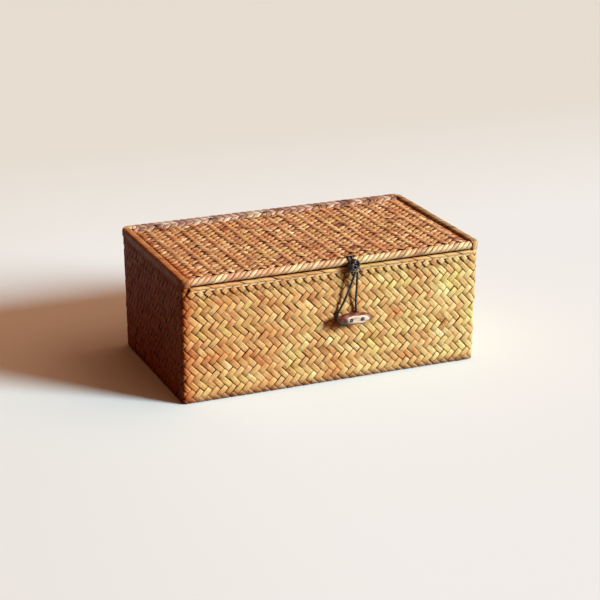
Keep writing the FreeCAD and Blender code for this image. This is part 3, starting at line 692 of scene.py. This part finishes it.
lid_heap = Heap()
lid_floats = twill_floats(
    lid_pitch, (-lid_half + lid_side_margin, lid_low.y + lid_margin),
    (lid_half - lid_side_margin, lid_high.y - lid_margin), upright=True
)
plaited(
    lid_heap, lid_floats, lid_pitch, on_lid, straw_tone, crest=0.75, sway=1.3,
    shape=float_shape(lid_pitch, sink=1.5, crown=(0.2, 1.0), dive=0.8)
)
level_backing(lid_heap, lid_high.z - 1.5, lid_high.x, lid_low.y, lid_high.y)
lid_top = lid_heap.piece("lid_top", lid_straw)
tidy_mesh(lid_top)
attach(lid_top, "lid")
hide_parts("lid_top_panel")

# ---------------------------------------------------------------------------------------------
# The rim: the wall straws are folded over a reed and wrapped on the slant into a firm rolled band
# along both ends and round the front corners, where it stops beside the lid. One cream straw caps
# the back left corner. Towards the right end the rim is painted greyer, a painted sheen, and there its
# wraps dip deep and darker, for painted shade on its inner side. The run along the back is browner,
# partly painted shade and grey sheen, and is made with the lid's back rope.


def ring_section(width, height, rounds, step=1.1):
    """A closed rectangle with rounded corners, from its lower right corner anticlockwise: points across
    and up, how far round each is, and the whole way round."""
    corners = [(width / 2, 0), (width / 2, height), (-width / 2, height), (-width / 2, 0)]
    middles = []
    for (x, z), radius, start in zip(corners, rounds, (-90, 0, 90, 180)):
        middle = (x - math.copysign(radius, x), z + (radius if z == 0 else -radius))
        for turn in np.radians(np.linspace(start, start + 90, 5)):
            middles.append((middle[0] + radius * math.cos(turn), middle[1] + radius * math.sin(turn)))
    line = np.array(middles + middles[:1])
    gaps = np.linalg.norm(np.diff(line, axis=0), axis=1)
    run = np.concatenate([[0], np.cumsum(gaps)])
    even = np.linspace(0, run[-1], int(run[-1] / step) + 1)[:-1]
    points = np.column_stack([np.interp(even, run, line[:, k]) for k in range(2)])
    return points, even, run[-1]


def wrapped(heap, length, place, section, pitch, slant, crown, tone=0.5, vee=False, spread=0.14):
    """Straws wrapped on the slant round a bar. place(u, across, up) is a point u along the bar. vee makes
    the slant turn back at the top."""
    points, q, around = section
    following, before = np.roll(points, -1, axis=0), np.roll(points, 1, axis=0)
    tangent = following - before
    tangent /= np.linalg.norm(tangent, axis=1)[:, None]
    outward = np.column_stack([tangent[:, 1], -tangent[:, 0]])
    top = q[np.argmax(points[:, 1] - 0.001 * np.abs(points[:, 0]))]
    lean = q - top
    lean = np.where(lean < -around / 2, lean + around, lean)
    lean = np.where(lean > around / 2, lean - around, lean)
    shift = slant * (np.abs(lean) if vee else lean)
    reach = int(np.abs(shift).max() / pitch) + 2
    part = np.array([0, 0.07, 0.25, 0.5, 0.75, 0.93, 1])
    for k in range(-reach, int(length / pitch) + reach):
        sway = draw.normal(0, 0.02, 2)
        u = (k + part[:, None] + sway[0]) * pitch - shift[None]
        fall = crown * (0.25 * np.abs(2 * part - 1) ** 2 + 0.75 * np.abs(2 * part - 1) ** 9)[:, None]
        fall = fall + draw.normal(0, 0.05) + 0 * u
        seed, straw = draw.uniform(0, 100), tone + draw.normal(0, spread)
        if u.max() <= 0 or u.min() >= length:
            continue
        u = np.clip(u, 0, length)
        grid = place(u, points[:, 0] - fall * outward[:, 0], points[:, 1] - fall * outward[:, 1])
        grain = np.stack([q + 37 * seed + 0 * u, part[:, None] * pitch + 0 * u, seed + 0 * u], axis=-1)
        # Painted shade: each wrap darkens towards its two edges, where it dips beside the next.
        depth = np.abs(2 * part - 1)[:, None] ** 9 * 0.8 + 0 * u
        heap.add_grid(grid, grain, min(max(straw, 0), 1), depth, closed=True)
    inner = points * 0.94 + np.array([0, 0.03 * points[:, 1].max()])
    # The end discs get a little painted shade.
    for end in (0.0, length):
        ring = place(np.full(len(points), end), *inner.T)
        hub = ring.mean(axis=0)
        grid = np.stack([ring, np.broadcast_to(hub, ring.shape) + (ring - hub) * 0.05])
        heap.add_grid(grid, np.zeros(grid.shape), 0.35, 0.3, closed=True)


rim_low, rim_high = (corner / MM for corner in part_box("rim_band"))
rim_thickness, rim_height = 9.3, rim_high.z - rim_low.z
rim_corner = 9.5
rim_bend = math.pi / 2 * rim_corner
rim_side = 2 * (rim_high.y - rim_corner)
rim_back = 2 * (rim_high.x - rim_corner)
rim_run = np.cumsum([0, rim_bend, rim_side, rim_bend, rim_back, rim_bend, rim_side, rim_bend])
rim_turn = np.radians([270, 180, 180, 90, 90, 0, 0, -90])
rim_x = np.array([-1, -1, -1, -1, 1, 1, 1, 1]) * (rim_high.x - rim_corner)
rim_y = np.array([-1, -1, 1, 1, 1, 1, -1, -1]) * (rim_high.y - rim_corner)


def on_rim(u, across, up):
    """across is measured outwards from the middle of the band, up from its underside."""
    turn = np.interp(u, rim_run, rim_turn)
    reach = rim_corner - rim_thickness / 2 + across
    x = np.interp(u, rim_run, rim_x) + reach * np.cos(turn)
    y = np.interp(u, rim_run, rim_y) + reach * np.sin(turn)
    return np.stack([x, y, rim_low.z + up], axis=-1)


rim_tones = [
    (0.0, (0.16, 0.05, 0.022)), (0.25, (0.36, 0.135, 0.045)), (0.5, (0.52, 0.23, 0.085)),
    (0.75, (0.58, 0.30, 0.12)), (1.0, (0.64, 0.43, 0.24)),
]
# Painted sheen: the strong blue-grey right tint greys the rim towards its right end.
rim_straw = straw_finish(
    "rim_straw", rim_tones, left=(0.88, 0.86, 0.86), right=(0.82, 1.15, 1.5), flecks=0.8,
    painted_left_shade=(0.95, 0.9, 0.82), shine=0.2
)
rim_section = ring_section(rim_thickness, rim_height, (1.0, 3.0, 3.0, 1.0))


def rim_stretch(heap, start, end, **wrapping):
    """Wraps the rim between two distances along it."""
    wrapped(heap, end - start, lambda u, across, up: on_rim(u + start, across, up), rim_section, **wrapping)


rim_heap = Heap()
rim_stretch(rim_heap, 0, rim_run[2] - 2, pitch=6.6, slant=0.75, crown=0.25, spread=0.08)
# Painted shade: the right end's wraps dip deep and are a shade darker, for the shade on the rim's inner
# side.
rim_stretch(rim_heap, rim_run[4] - 2, rim_run[-1], pitch=4.4, slant=0.75, crown=1.0, tone=0.42, spread=0.2)
rim_stretch(rim_heap, rim_run[2] - 3, rim_run[3] + 6, pitch=4.2, slant=0.4, crown=0.3, tone=1.0, spread=0.04)
rim = rim_heap.piece("rim_wrapping", rim_straw)
tidy_mesh(rim)
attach(rim, "basket")
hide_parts("rim_band")

# ---------------------------------------------------------------------------------------------
# The front edge: with no rim above it, the front wall's straws fold over a reed and tuck back down
# on the slant, which leaves one row of leaning folds under a thin strip that is rolled along the
# top.

front_low, front_high = (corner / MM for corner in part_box("front_binding"))


def on_front_edge(u, across, up):
    """Seen from the front, u runs to the right; across is outwards, towards -Y."""
    middle = (front_low.y + front_high.y) / 2
    return np.stack([front_low.x + u, middle - across, front_low.z + up + 0 * u], axis=-1)


front_length = front_high.x - front_low.x
front_depth, front_tall = front_high.y - front_low.y, front_high.z - front_low.z
roll_tall, roll_deep = 3.4, 3.8
core_depth, core_tall, core_inset = front_depth - 3.0, front_tall - 1.5, 0.3
fold_long, fold_wide = 0.56, 0.92
fold_up, fold_back = 1.7, 0.55


def on_front_roll(u, across, up):
    """The same for the rolled strip, flush with the front and the top of the edge."""
    return on_front_edge(u, across + (front_depth - roll_deep) / 2, up + front_tall - roll_tall)


fold_heap = Heap()
core = ring_section(core_depth, core_tall, (0.8, 0.8, 0.8, 0.8))[0]
core_ends = np.stack([
    on_front_edge(np.full(len(core), end), *core.T) for end in (core_inset, front_length - core_inset)
])
# The core's two end caps are painted nearly all in the dark gap shade.
fold_heap.add_grid(core_ends, np.zeros(core_ends.shape), 0.1, 0.8, closed=True)
wrapped(
    fold_heap, front_length, on_front_roll,
    ring_section(roll_deep, roll_tall, (1.0, 1.5, 1.3, 0.8), step=0.7),
    pitch=17.0, slant=1.6, crown=0.3, spread=0.1
)
folded = fold_floats[fold_floats[:, 2] > math.pi / 2]
fold_drop = folded[:, 1].max() - (front_low.z + fold_up - bottom_round)
folded = folded + np.array([fold_drop, -fold_drop, 0, 0])
folded = folded[(folded[:, 0] > front_start - 1) & (folded[:, 0] < front_end + 1)]
fold_out = -front_low.y - wall_half_y(front_low.z) - fold_back
fold_s, fold_t, fold_height = float_shape(wall_pitch, sink=1.1)
plaited(
    fold_heap, folded, wall_pitch, on_wall, straw_tone, crest=fold_out,
    shape=(fold_s * fold_long, fold_t * fold_wide, fold_height)
)
folds = fold_heap.piece("front_folds", outer_straw)
tidy_mesh(folds)
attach(folds, "basket")
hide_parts("front_binding")

# ---------------------------------------------------------------------------------------------
# The lid's edges: a pale rope of straw wound round a reed along the front, a browner one along the
# back that the lid turns on, and a fine folded edge at each end. The back rope's darker, greyer tones
# are partly painted shade and a painted grey sheen. The rim behind the back rope is wrapped in the same
# brown straw.


def round_section(radius, middle):
    """A closed circle whose middle is that high, given as ring_section gives its rectangle."""
    count = int(2 * math.pi * radius / 1.1)
    turn = np.linspace(-np.pi / 2, 1.5 * np.pi, count, endpoint=False)
    points = np.column_stack([radius * np.cos(turn), middle + radius * np.sin(turn)])
    return points, (turn + np.pi / 2) * radius, 2 * math.pi * radius


def lid_edge(name, node, material, slot, section, along="x", **wrapping):
    """Makes one wrapped edge of the lid in the place of a CAD node, along x or y."""
    low, high = (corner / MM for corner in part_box(node))
    middle = (low + high) / 2

    def place(u, across, up):
        if along == "x":
            return np.stack([low.x + u, middle.y - across, low.z + up + 0 * u], axis=-1)
        return np.stack([middle.x + across, low.y + u, low.z + up + 0 * u], axis=-1)

    heap = Heap()
    length = (high - low).x if along == "x" else (high - low).y
    wrapped(heap, length, place, section, **wrapping)
    made = heap.piece(name, material)
    tidy_mesh(made)
    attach(made, "lid")
    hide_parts(node)


rope_radius = 4.4
pale_tones = [
    (0.0, (0.26, 0.11, 0.06)), (0.3, (0.46, 0.26, 0.14)),
    (0.6, (0.58, 0.39, 0.24)), (1.0, (0.66, 0.52, 0.36)),
]
pale_straw = straw_finish(
    "pale_straw", pale_tones, left=(1.0, 0.93, 0.9), right=(1.0, 1.14, 1.02), flecks=0.8, fibre=0.28
)
lid_edge(
    "lid_front_rope_winding", "lid_front_rope", pale_straw, "straw_pale", round_section(4.0, rope_radius),
    pitch=6.0, slant=-0.85, crown=0.9, spread=0.16
)
# Partly painted light: these darker, greyer tones stand in for the back rope's shaded front and a grey sheen
# on it.
back_tones = [
    (0.0, (0.08, 0.035, 0.03)), (0.3, (0.24, 0.12, 0.085)),
    (0.6, (0.38, 0.24, 0.18)), (1.0, (0.50, 0.39, 0.33)),
]
back_straw = straw_finish(
    "brown_straw", back_tones, left=(0.95, 0.97, 1.05), right=(1.05, 1.0, 0.9), flecks=0.8
)
lid_edge(
    "lid_back_rope_winding", "lid_back_rope", back_straw, "straw_rim", round_section(4.3, rope_radius),
    pitch=8.6, slant=-0.85, crown=1.5, spread=0.2
)
rim_back_heap = Heap()
rim_stretch(
    rim_back_heap, rim_run[3] + 6, rim_run[4] - 2, pitch=8.6, slant=-0.85, crown=1.4, spread=0.2
)
rim_back = rim_back_heap.piece("rim_back_wrapping", back_straw)
tidy_mesh(rim_back)
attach(rim_back, "basket")
side_edge_below_top = 0.9
for side in ("left", "right"):
    side_low, side_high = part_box(f"lid_side_{side}")
    side_size = (side_high - side_low) / MM
    side_section = ring_section(
        side_size.x, side_size.z - side_edge_below_top, (1.0, 2.0, 2.0, 1.0), step=0.9
    )
    lid_edge(
        f"lid_{side}_edge", f"lid_side_{side}", lid_straw, "straw_lid", side_section, along="y",
        pitch=4.6, slant=0.9, crown=0.6, tone=0.4, vee=True, spread=0.2
    )

# ---------------------------------------------------------------------------------------------
# The ties of the hinge: five loops of split straw, each wound round the lid's back rope and through
# the rim round its reed.

tie_count = 5
tie_turns = 4
tie_width = 6.0
tie_sides = 6
round_rope, round_reed = 4.35, 2.6
rope_low, rope_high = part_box("lid_back_rope")
rope_middle = (rope_low + rope_high) / 2 / MM
tie_low, tie_high = (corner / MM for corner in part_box("hinge_ties"))
reed_middle_y = tie_high.y - 3.05


def tie_route(x):
    """One turn: round the front of the rope and round the back of the reed behind it."""
    halves = ((rope_middle.y, round_rope, 90, 13), (reed_middle_y, round_reed, 270, 9))
    route = [
        (x, middle_y + reach * math.cos(a), rope_middle.z + reach * math.sin(a))
        for middle_y, reach, start, count in halves
        for a in np.radians(np.linspace(start, start + 180, count))
    ]
    return np.array(route + route[:1])


tie_heap = Heap()
for place_x in np.linspace(tie_low.x + tie_width / 2, tie_high.x - tie_width / 2, tie_count):
    for turn_number in range(tie_turns):
        x = place_x + (turn_number - (tie_turns - 1) / 2) * tie_width / tie_turns
        line, run = spaced(tie_route(x), 1.0)
        rings = tube_rings(line, tie_width / tie_turns / 2 * 0.98, tie_sides)
        seed = draw.uniform(0, 100)
        grain = np.zeros(rings.shape)
        grain[..., 0] = run[:, None] + 37 * seed
        grain[..., 1] = np.linspace(0, 4, tie_sides)[None]
        grain[..., 2] = seed
        tie_heap.add_grid(rings, grain, 0.55 + draw.normal(0, 0.15), 0.0, closed=True, capped=True)
# The ties take the back rope's straw, with its partly painted shade and grey sheen.
ties = tie_heap.piece("hinge_tie_windings", back_straw)
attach(ties, "basket")
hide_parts("hinge_ties")

# ---------------------------------------------------------------------------------------------
# The lining: a second plait of paler, evener straw inside the walls and over the floor, and the
# same on the underside of the lid.

lining_tones = [
    (0.0, (0.24, 0.09, 0.035)), (0.25, (0.40, 0.20, 0.08)), (0.5, (0.50, 0.30, 0.13)),
    (0.75, (0.56, 0.37, 0.17)), (1.0, (0.64, 0.48, 0.27)),
]
lining_straw = straw_finish("lining_straw", lining_tones, left=(1, 1, 1), right=(1, 1.03, 1.03), shine=0.25)
lining_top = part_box("inner_shell")[1].z / MM
lining_in = 4.2
lining_floor = 4.2
lining_corner = 2.5
lining_half_x = wall_half_x - lining_in
lining_half_y = (wall_half_y_base + wall_half_y_top) / 2 - lining_in
lining_runs = outline_runs(lining_half_x, lining_half_y, lining_corner)
lining_round = round(lining_runs[-1] / (straw_pitch * math.sqrt(2)))
lining_pitch = lining_runs[-1] / lining_round / math.sqrt(2)


def on_lining(u, v, h):
    """Points on the inside of the walls; h is measured into the box."""
    u = np.mod(u, lining_runs[-1])
    z = lining_floor + v
    half_y = wall_half_y(z) - lining_in
    x, y = round_outline(u, lining_runs, lining_half_x, half_y, lining_corner, -h)
    return np.stack([x, y, z], axis=-1)


lining_floats = twill_floats(lining_pitch, (0, 1), (lining_runs[-1], lining_top - lining_floor))
on_front = (lining_floats[:, 0] > lining_runs[4] - 1.0) & (lining_floats[:, 0] < lining_runs[5] + 1.0)
lining_floats = lining_floats[~on_front | (lining_floats[:, 1] < binding_low - lining_floor + 3)]
lining_heap = Heap()
plaited(lining_heap, lining_floats, lining_pitch, on_lining, straw_tone, crest=-0.1)
lining = lining_heap.piece("lining_walls", lining_straw)
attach(lining, "basket")
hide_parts("inner_shell")

inside_half_x = lining_half_x - 1
inside_half_y = wall_half_y_base - lining_in - 1
inside_heap = Heap()
inside_floats = twill_floats(straw_pitch, (-inside_half_x, -inside_half_y), (inside_half_x, inside_half_y))
plaited(inside_heap, inside_floats, straw_pitch, on_level(lining_floor), straw_tone, crest=-0.05)
level_backing(inside_heap, lining_floor - 1.5, inside_half_x, -inside_half_y, inside_half_y)
inside_floor = inside_heap.piece("lining_floor", lining_straw)
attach(inside_floor, "basket")

under_low, under_high = (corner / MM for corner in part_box("lid_under_panel"))
under_heap = Heap()
under_floats = twill_floats(
    lid_pitch, (under_low.x + lid_margin, -under_high.y + lid_margin),
    (under_high.x - lid_margin, -under_low.y - lid_margin), upright=True
)
plaited(under_heap, under_floats, lid_pitch, on_level(under_low.z, -1), straw_tone, crest=-0.05)
level_backing(under_heap, under_low.z + 1.5, under_high.x, under_low.y, under_high.y)
lid_under = under_heap.piece("lid_underside", lining_straw)
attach(lid_under, "lid")
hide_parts("lid_under_panel")

# ---------------------------------------------------------------------------------------------
# The reeds inside the rolled edges: peeled willow, matt and pale, that the straws are folded or
# wound over. They keep the edges straight, and hardly show.


def reed_finish():
    """Peeled willow with fine streaks along it."""
    finish = Finish("peeled_reed")
    where = finish.node("ShaderNodeTexCoord").outputs["Object"]
    streaks = finish.noise(finish.stretched(where, (40.0, 400.0, 400.0)), 1.0, detail=4.0)
    finish.colour(finish.ramp(streaks, [(0.3, (0.36, 0.22, 0.1)), (0.7, (0.58, 0.42, 0.22))]))
    finish.roughness(finish.ranged(streaks, 0.3, 0.7, 0.5, 0.7))
    finish.relief(streaks, 0.2, 0.4)
    return finish.material


peeled_reed = reed_finish()
for rod in ("rim_rod", "front_binding_rod", "lid_front_rod", "lid_back_rod"):
    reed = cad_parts[rod]
    reed.data.materials.clear()
    reed.data.materials.append(peeled_reed)

# ---------------------------------------------------------------------------------------------
# The closure's lashing, knot and tails: the cord is wound three times round the lid's front rope,
# then knotted to itself in a hard round lump in front of it, and its two ends are cut short.

lashing_x = 16.4
lashing_pitch = 1.9
lashing_reach = rope_radius + 0.35
front_rope_low, front_rope_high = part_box("lid_front_rope")
front_rope_middle = (front_rope_low + front_rope_high) / 2 / MM
turn = np.linspace(0, 2 * np.pi, 41)
lashing_heap = Heap()
for number in (-1, 0, 1):
    slide = 0.5 * np.sin(turn) * (1 if number else -1)
    ring = np.column_stack([
        lashing_x + lashing_pitch * number + slide,
        front_rope_middle.y + lashing_reach * np.cos(turn),
        front_rope_middle.z + lashing_reach * np.sin(turn),
    ])
    add_cord(lashing_heap, ring, cord_radius + 0.2, seed=10.0 + number)
lashing = lashing_heap.piece("closure_lashing_cord", waxed_cord)
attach(lashing, "lid")
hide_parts("closure_lashing")

knot_low, knot_high = (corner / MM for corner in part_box("closure_knot"))
knot_middle = np.array([(knot_low.x + knot_high.x) / 2, -101.9, (knot_low.z + knot_high.z) / 2])
knot_reach = np.array([(knot_high.x - knot_low.x) / 2, 4.6, (knot_high.z - knot_low.z) / 2]) - cord_radius
knot_cord = cord_radius + 0.25
knot_heap = Heap()
turn = np.linspace(0, 2 * np.pi, 91)
for scale, twist, seed in ((1.0, 0.5, 21.0), (0.8, 1.6, 22.0)):
    trefoil = np.column_stack([
        (np.sin(turn) + 2 * np.sin(2 * turn)) / 3,
        -np.sin(3 * turn),
        (np.cos(turn) - 2 * np.cos(2 * turn)) / 3,
    ])
    cos, sin = math.cos(twist), math.sin(twist)
    trefoil = trefoil @ np.array([[cos, 0, sin], [0, 1, 0], [-sin, 0, cos]])
    add_cord(knot_heap, knot_middle + scale * knot_reach * trefoil, knot_cord, seed=seed)
knot_turns = (
    (0.5, 0.3, 0.93, 23.0), (-0.7, 1.2, 0.9, 24.0), (1.2, 2.2, 0.88, 25.0), (0.1, 2.8, 0.85, 26.0),
)
for lean, spin, scale, seed in knot_turns:
    first = np.array([math.cos(spin), 0, math.sin(spin)])
    second = np.array([-math.sin(spin) * math.sin(lean), math.cos(lean), math.cos(spin) * math.sin(lean)])
    ring = np.cos(turn)[:, None] * first + np.sin(turn)[:, None] * second
    add_cord(knot_heap, knot_middle + scale * knot_reach * ring, knot_cord, seed=seed)
knot = knot_heap.piece("closure_knot_cord", waxed_cord)
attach(knot, "lid")
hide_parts("closure_knot")

tail_routes = [
    [(13.2, -102.6, 121.5), (12.0, -102.6, 118.8), (11.6, -101.8, 115.6)],
    [(22.6, -102.6, 121.9), (24.8, -102.4, 119.6), (27.0, -101.4, 117.0)],
]
tails_heap = Heap()
for number, route in enumerate(tail_routes):
    add_cord(tails_heap, line_points(f"tail_line_{number}", route), cord_radius * 1.15, seed=30.0 + number)
tails = tails_heap.piece("closure_tail_cords", waxed_cord)
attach(tails, "lid")
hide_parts("closure_tails")

# ---------------------------------------------------------------------------------------------
# The toggle: a spindle whittled from a twig. Its bark is left on except for a pale flat pared along
# the front, where two holes take the cord that ties it to the wall.

toggle_low, toggle_high = (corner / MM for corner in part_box("toggle"))
toggle_middle = np.array([(toggle_low.x + toggle_high.x) / 2, -104.5, (toggle_low.z + toggle_high.z) / 2])
toggle_half = (toggle_high.x - toggle_low.x) / 2
toggle_radius = (toggle_high.z - toggle_low.z) / 2
toggle_tilt = math.radians(3.0)
flat_at = 5.1
hole_apart = 6.4
hole_radius = 2.1


def toggle_heap():
    """The whittled spindle before it is drilled: knobbly round the bark, wavy on the pared flat."""
    places_along = np.linspace(-1, 1, 65)
    turn = np.linspace(0, 2 * np.pi, 48, endpoint=False)
    t, a = np.meshgrid(places_along, turn, indexing="ij")
    girth = toggle_radius * (0.16 + 0.84 * np.sqrt(np.clip(1 - np.abs(t) ** 2.1, 0, 1)) ** 1.15)
    girth = girth - 0.18 * np.sin(5 * t + 1.3) * (1 - t**2)
    girth = girth + 0.1 * np.sin(3 * a + 4 * t) + 0.06 * np.sin(7 * a - 9 * t)
    y = girth * np.cos(a)
    z = girth * np.sin(a)
    pared = flat_at - 0.5 * np.sin(2.2 * t + 0.4) + 0.5 * np.clip(-t - 0.25, 0, 1) ** 2 * 4
    y = np.maximum(y, -pared - 0.04 * np.sin(z * 4 + 3 * t))
    x = t * toggle_half * 0.985
    cos, sin = math.cos(toggle_tilt), math.sin(toggle_tilt)
    grid = np.stack([x * cos + z * sin, y, z * cos - x * sin], axis=-1) + toggle_middle
    grain = np.stack([x, a * toggle_radius, 0 * x], axis=-1)
    heap = Heap()
    heap.add_grid(grid, grain, 0.5, 0.0, closed=True, capped=True)
    return heap


def toggle_finish():
    """Brown bark with fine long cracks and a satin rub. The pared flat is pale grey-cream wood but for
    its left end, which kept its bark."""
    finish = Finish("twig_bark")
    where = finish.node("ShaderNodeTexCoord").outputs["Object"]
    apart = finish.node("ShaderNodeSeparateXYZ")
    finish.join(where, apart.inputs[0])
    cracks = finish.noise(finish.stretched(where, (120.0, 900.0, 900.0)), 1.0, detail=4.0, roughness=0.6)
    cloud = finish.noise(where, 160.0, detail=3.0)
    bark_tones = [(0.3, (0.02, 0.005, 0.003)), (0.5, (0.075, 0.017, 0.008)), (0.7, (0.14, 0.04, 0.02))]
    bark = finish.mixed(
        finish.ramp(cracks, bark_tones), (0.45, 0.15, 0.10), finish.ranged(cloud, 0.5, 0.66, 0.0, 0.6)
    )
    wood_tones = [(0.3, (0.22, 0.13, 0.09)), (0.55, (0.52, 0.41, 0.32)), (0.75, (0.72, 0.65, 0.56))]
    wood = finish.ramp(cracks, wood_tones)
    behind_flat = (toggle_middle[1] - flat_at + 0.9) * MM
    flat = finish.ranged(apart.outputs["Y"], behind_flat, behind_flat - 0.4 * MM, 0.0, 1.0)
    past_left_end = finish.ranged(apart.outputs["X"], 6.5 * MM, 9.5 * MM, 0.0, 1.0)
    finish.colour(finish.mixed(bark, wood, finish.sum(flat, past_left_end, "MULTIPLY")))
    finish.roughness(finish.ranged(cracks, 0.3, 0.7, 0.32, 0.55))
    finish.relief(cracks, 0.35, 0.6)
    finish.gloss(Specular_IOR_Level=0.5, Coat_Weight=0.2, Coat_Roughness=0.35)
    return finish.material


toggle = toggle_heap().piece("toggle_twig", toggle_finish())
drill_mesh = bpy.data.meshes.new("drill")
drill = bmesh.new()
for side in (-1, 1):
    at = toggle_middle + np.array([side * hole_apart, 0, 0])
    made = bmesh.ops.create_cone(
        drill, cap_ends=True, segments=24, radius1=hole_radius * MM, radius2=hole_radius * MM, depth=30 * MM
    )
    bmesh.ops.rotate(drill, verts=made["verts"], cent=(0, 0, 0), matrix=Matrix.Rotation(math.pi / 2, 3, "X"))
    bmesh.ops.translate(drill, verts=made["verts"], vec=Vector(at * MM))
drill.to_mesh(drill_mesh)
drill.free()
drill_holder = new_object("drill", drill_mesh)
holes = toggle.modifiers.new("holes", "BOOLEAN")
holes.object = drill_holder
holes.solver = "EXACT"
bpy.context.view_layer.update()
drilled = bpy.data.meshes.new_from_object(toggle.evaluated_get(bpy.context.evaluated_depsgraph_get()))
toggle.modifiers.clear()
toggle.data = drilled
bpy.data.objects.remove(drill_holder)
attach(toggle, "toggle")
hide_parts("toggle")

# ---------------------------------------------------------------------------------------------
# The toggle's tie: a cord knotted in each hole, whose two legs pass through the wall together and
# end in one knot against the lining.

tie_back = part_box("toggle_tie")[1].y / MM
behind_toggle = toggle_middle[1] + toggle_radius + 1.3
bend_softening = 6
tie_heap = Heap()
for number, side in enumerate((-1, 1)):
    hole = toggle_middle[0] + side * hole_apart
    shank = toggle_middle[0] + side * (cord_radius + 0.1)
    route = [
        (hole, toggle_middle[1] - flat_at + 0.4, toggle_middle[2]), (hole, behind_toggle, toggle_middle[2]),
        (shank, behind_toggle, toggle_middle[2]), (shank, tie_back, toggle_middle[2]),
    ]
    line = spaced(np.array(route), 0.5)[0]
    for _ in range(bend_softening):
        line[1:-1] = 0.25 * line[:-2] + 0.5 * line[1:-1] + 0.25 * line[2:]
    add_cord(tie_heap, line, cord_radius, seed=40.0 + number)
    turn = np.linspace(0, 2 * np.pi, 25)
    for lean, reach in ((0.4, 1.25), (-0.6, 0.7)):
        ring = np.column_stack([
            hole + reach * np.cos(turn), toggle_middle[1] - flat_at + 0.5 + 0.5 * np.sin(turn + lean),
            toggle_middle[2] + reach * np.sin(turn)
        ])
        add_cord(tie_heap, ring, cord_radius * 0.85, seed=44.0 + number + lean)
tie = tie_heap.piece("toggle_tie_cord", waxed_cord)
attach(tie, "toggle")
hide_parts("toggle_tie")

end_low, end_high = (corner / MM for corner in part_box("toggle_tie_knot"))
end_middle = np.array(end_low + end_high) / 2
end_reach = np.array(end_high - end_low) / 2 - cord_radius
end_heap = Heap()
turn = np.linspace(0, 2 * np.pi, 61)
for lean, seed in ((0.0, 51.0), (1.1, 52.0), (2.2, 53.0)):
    ring = np.column_stack([
        np.cos(turn) * math.cos(lean),
        np.sin(turn) * 0.8 + 0.2 * np.cos(2 * turn),
        np.cos(turn) * math.sin(lean),
    ])
    add_cord(end_heap, end_middle + end_reach * ring, cord_radius, seed=seed)
end_knot = end_heap.piece("toggle_tie_end_knot", waxed_cord)
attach(end_knot, "toggle")
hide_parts("toggle_tie_knot")
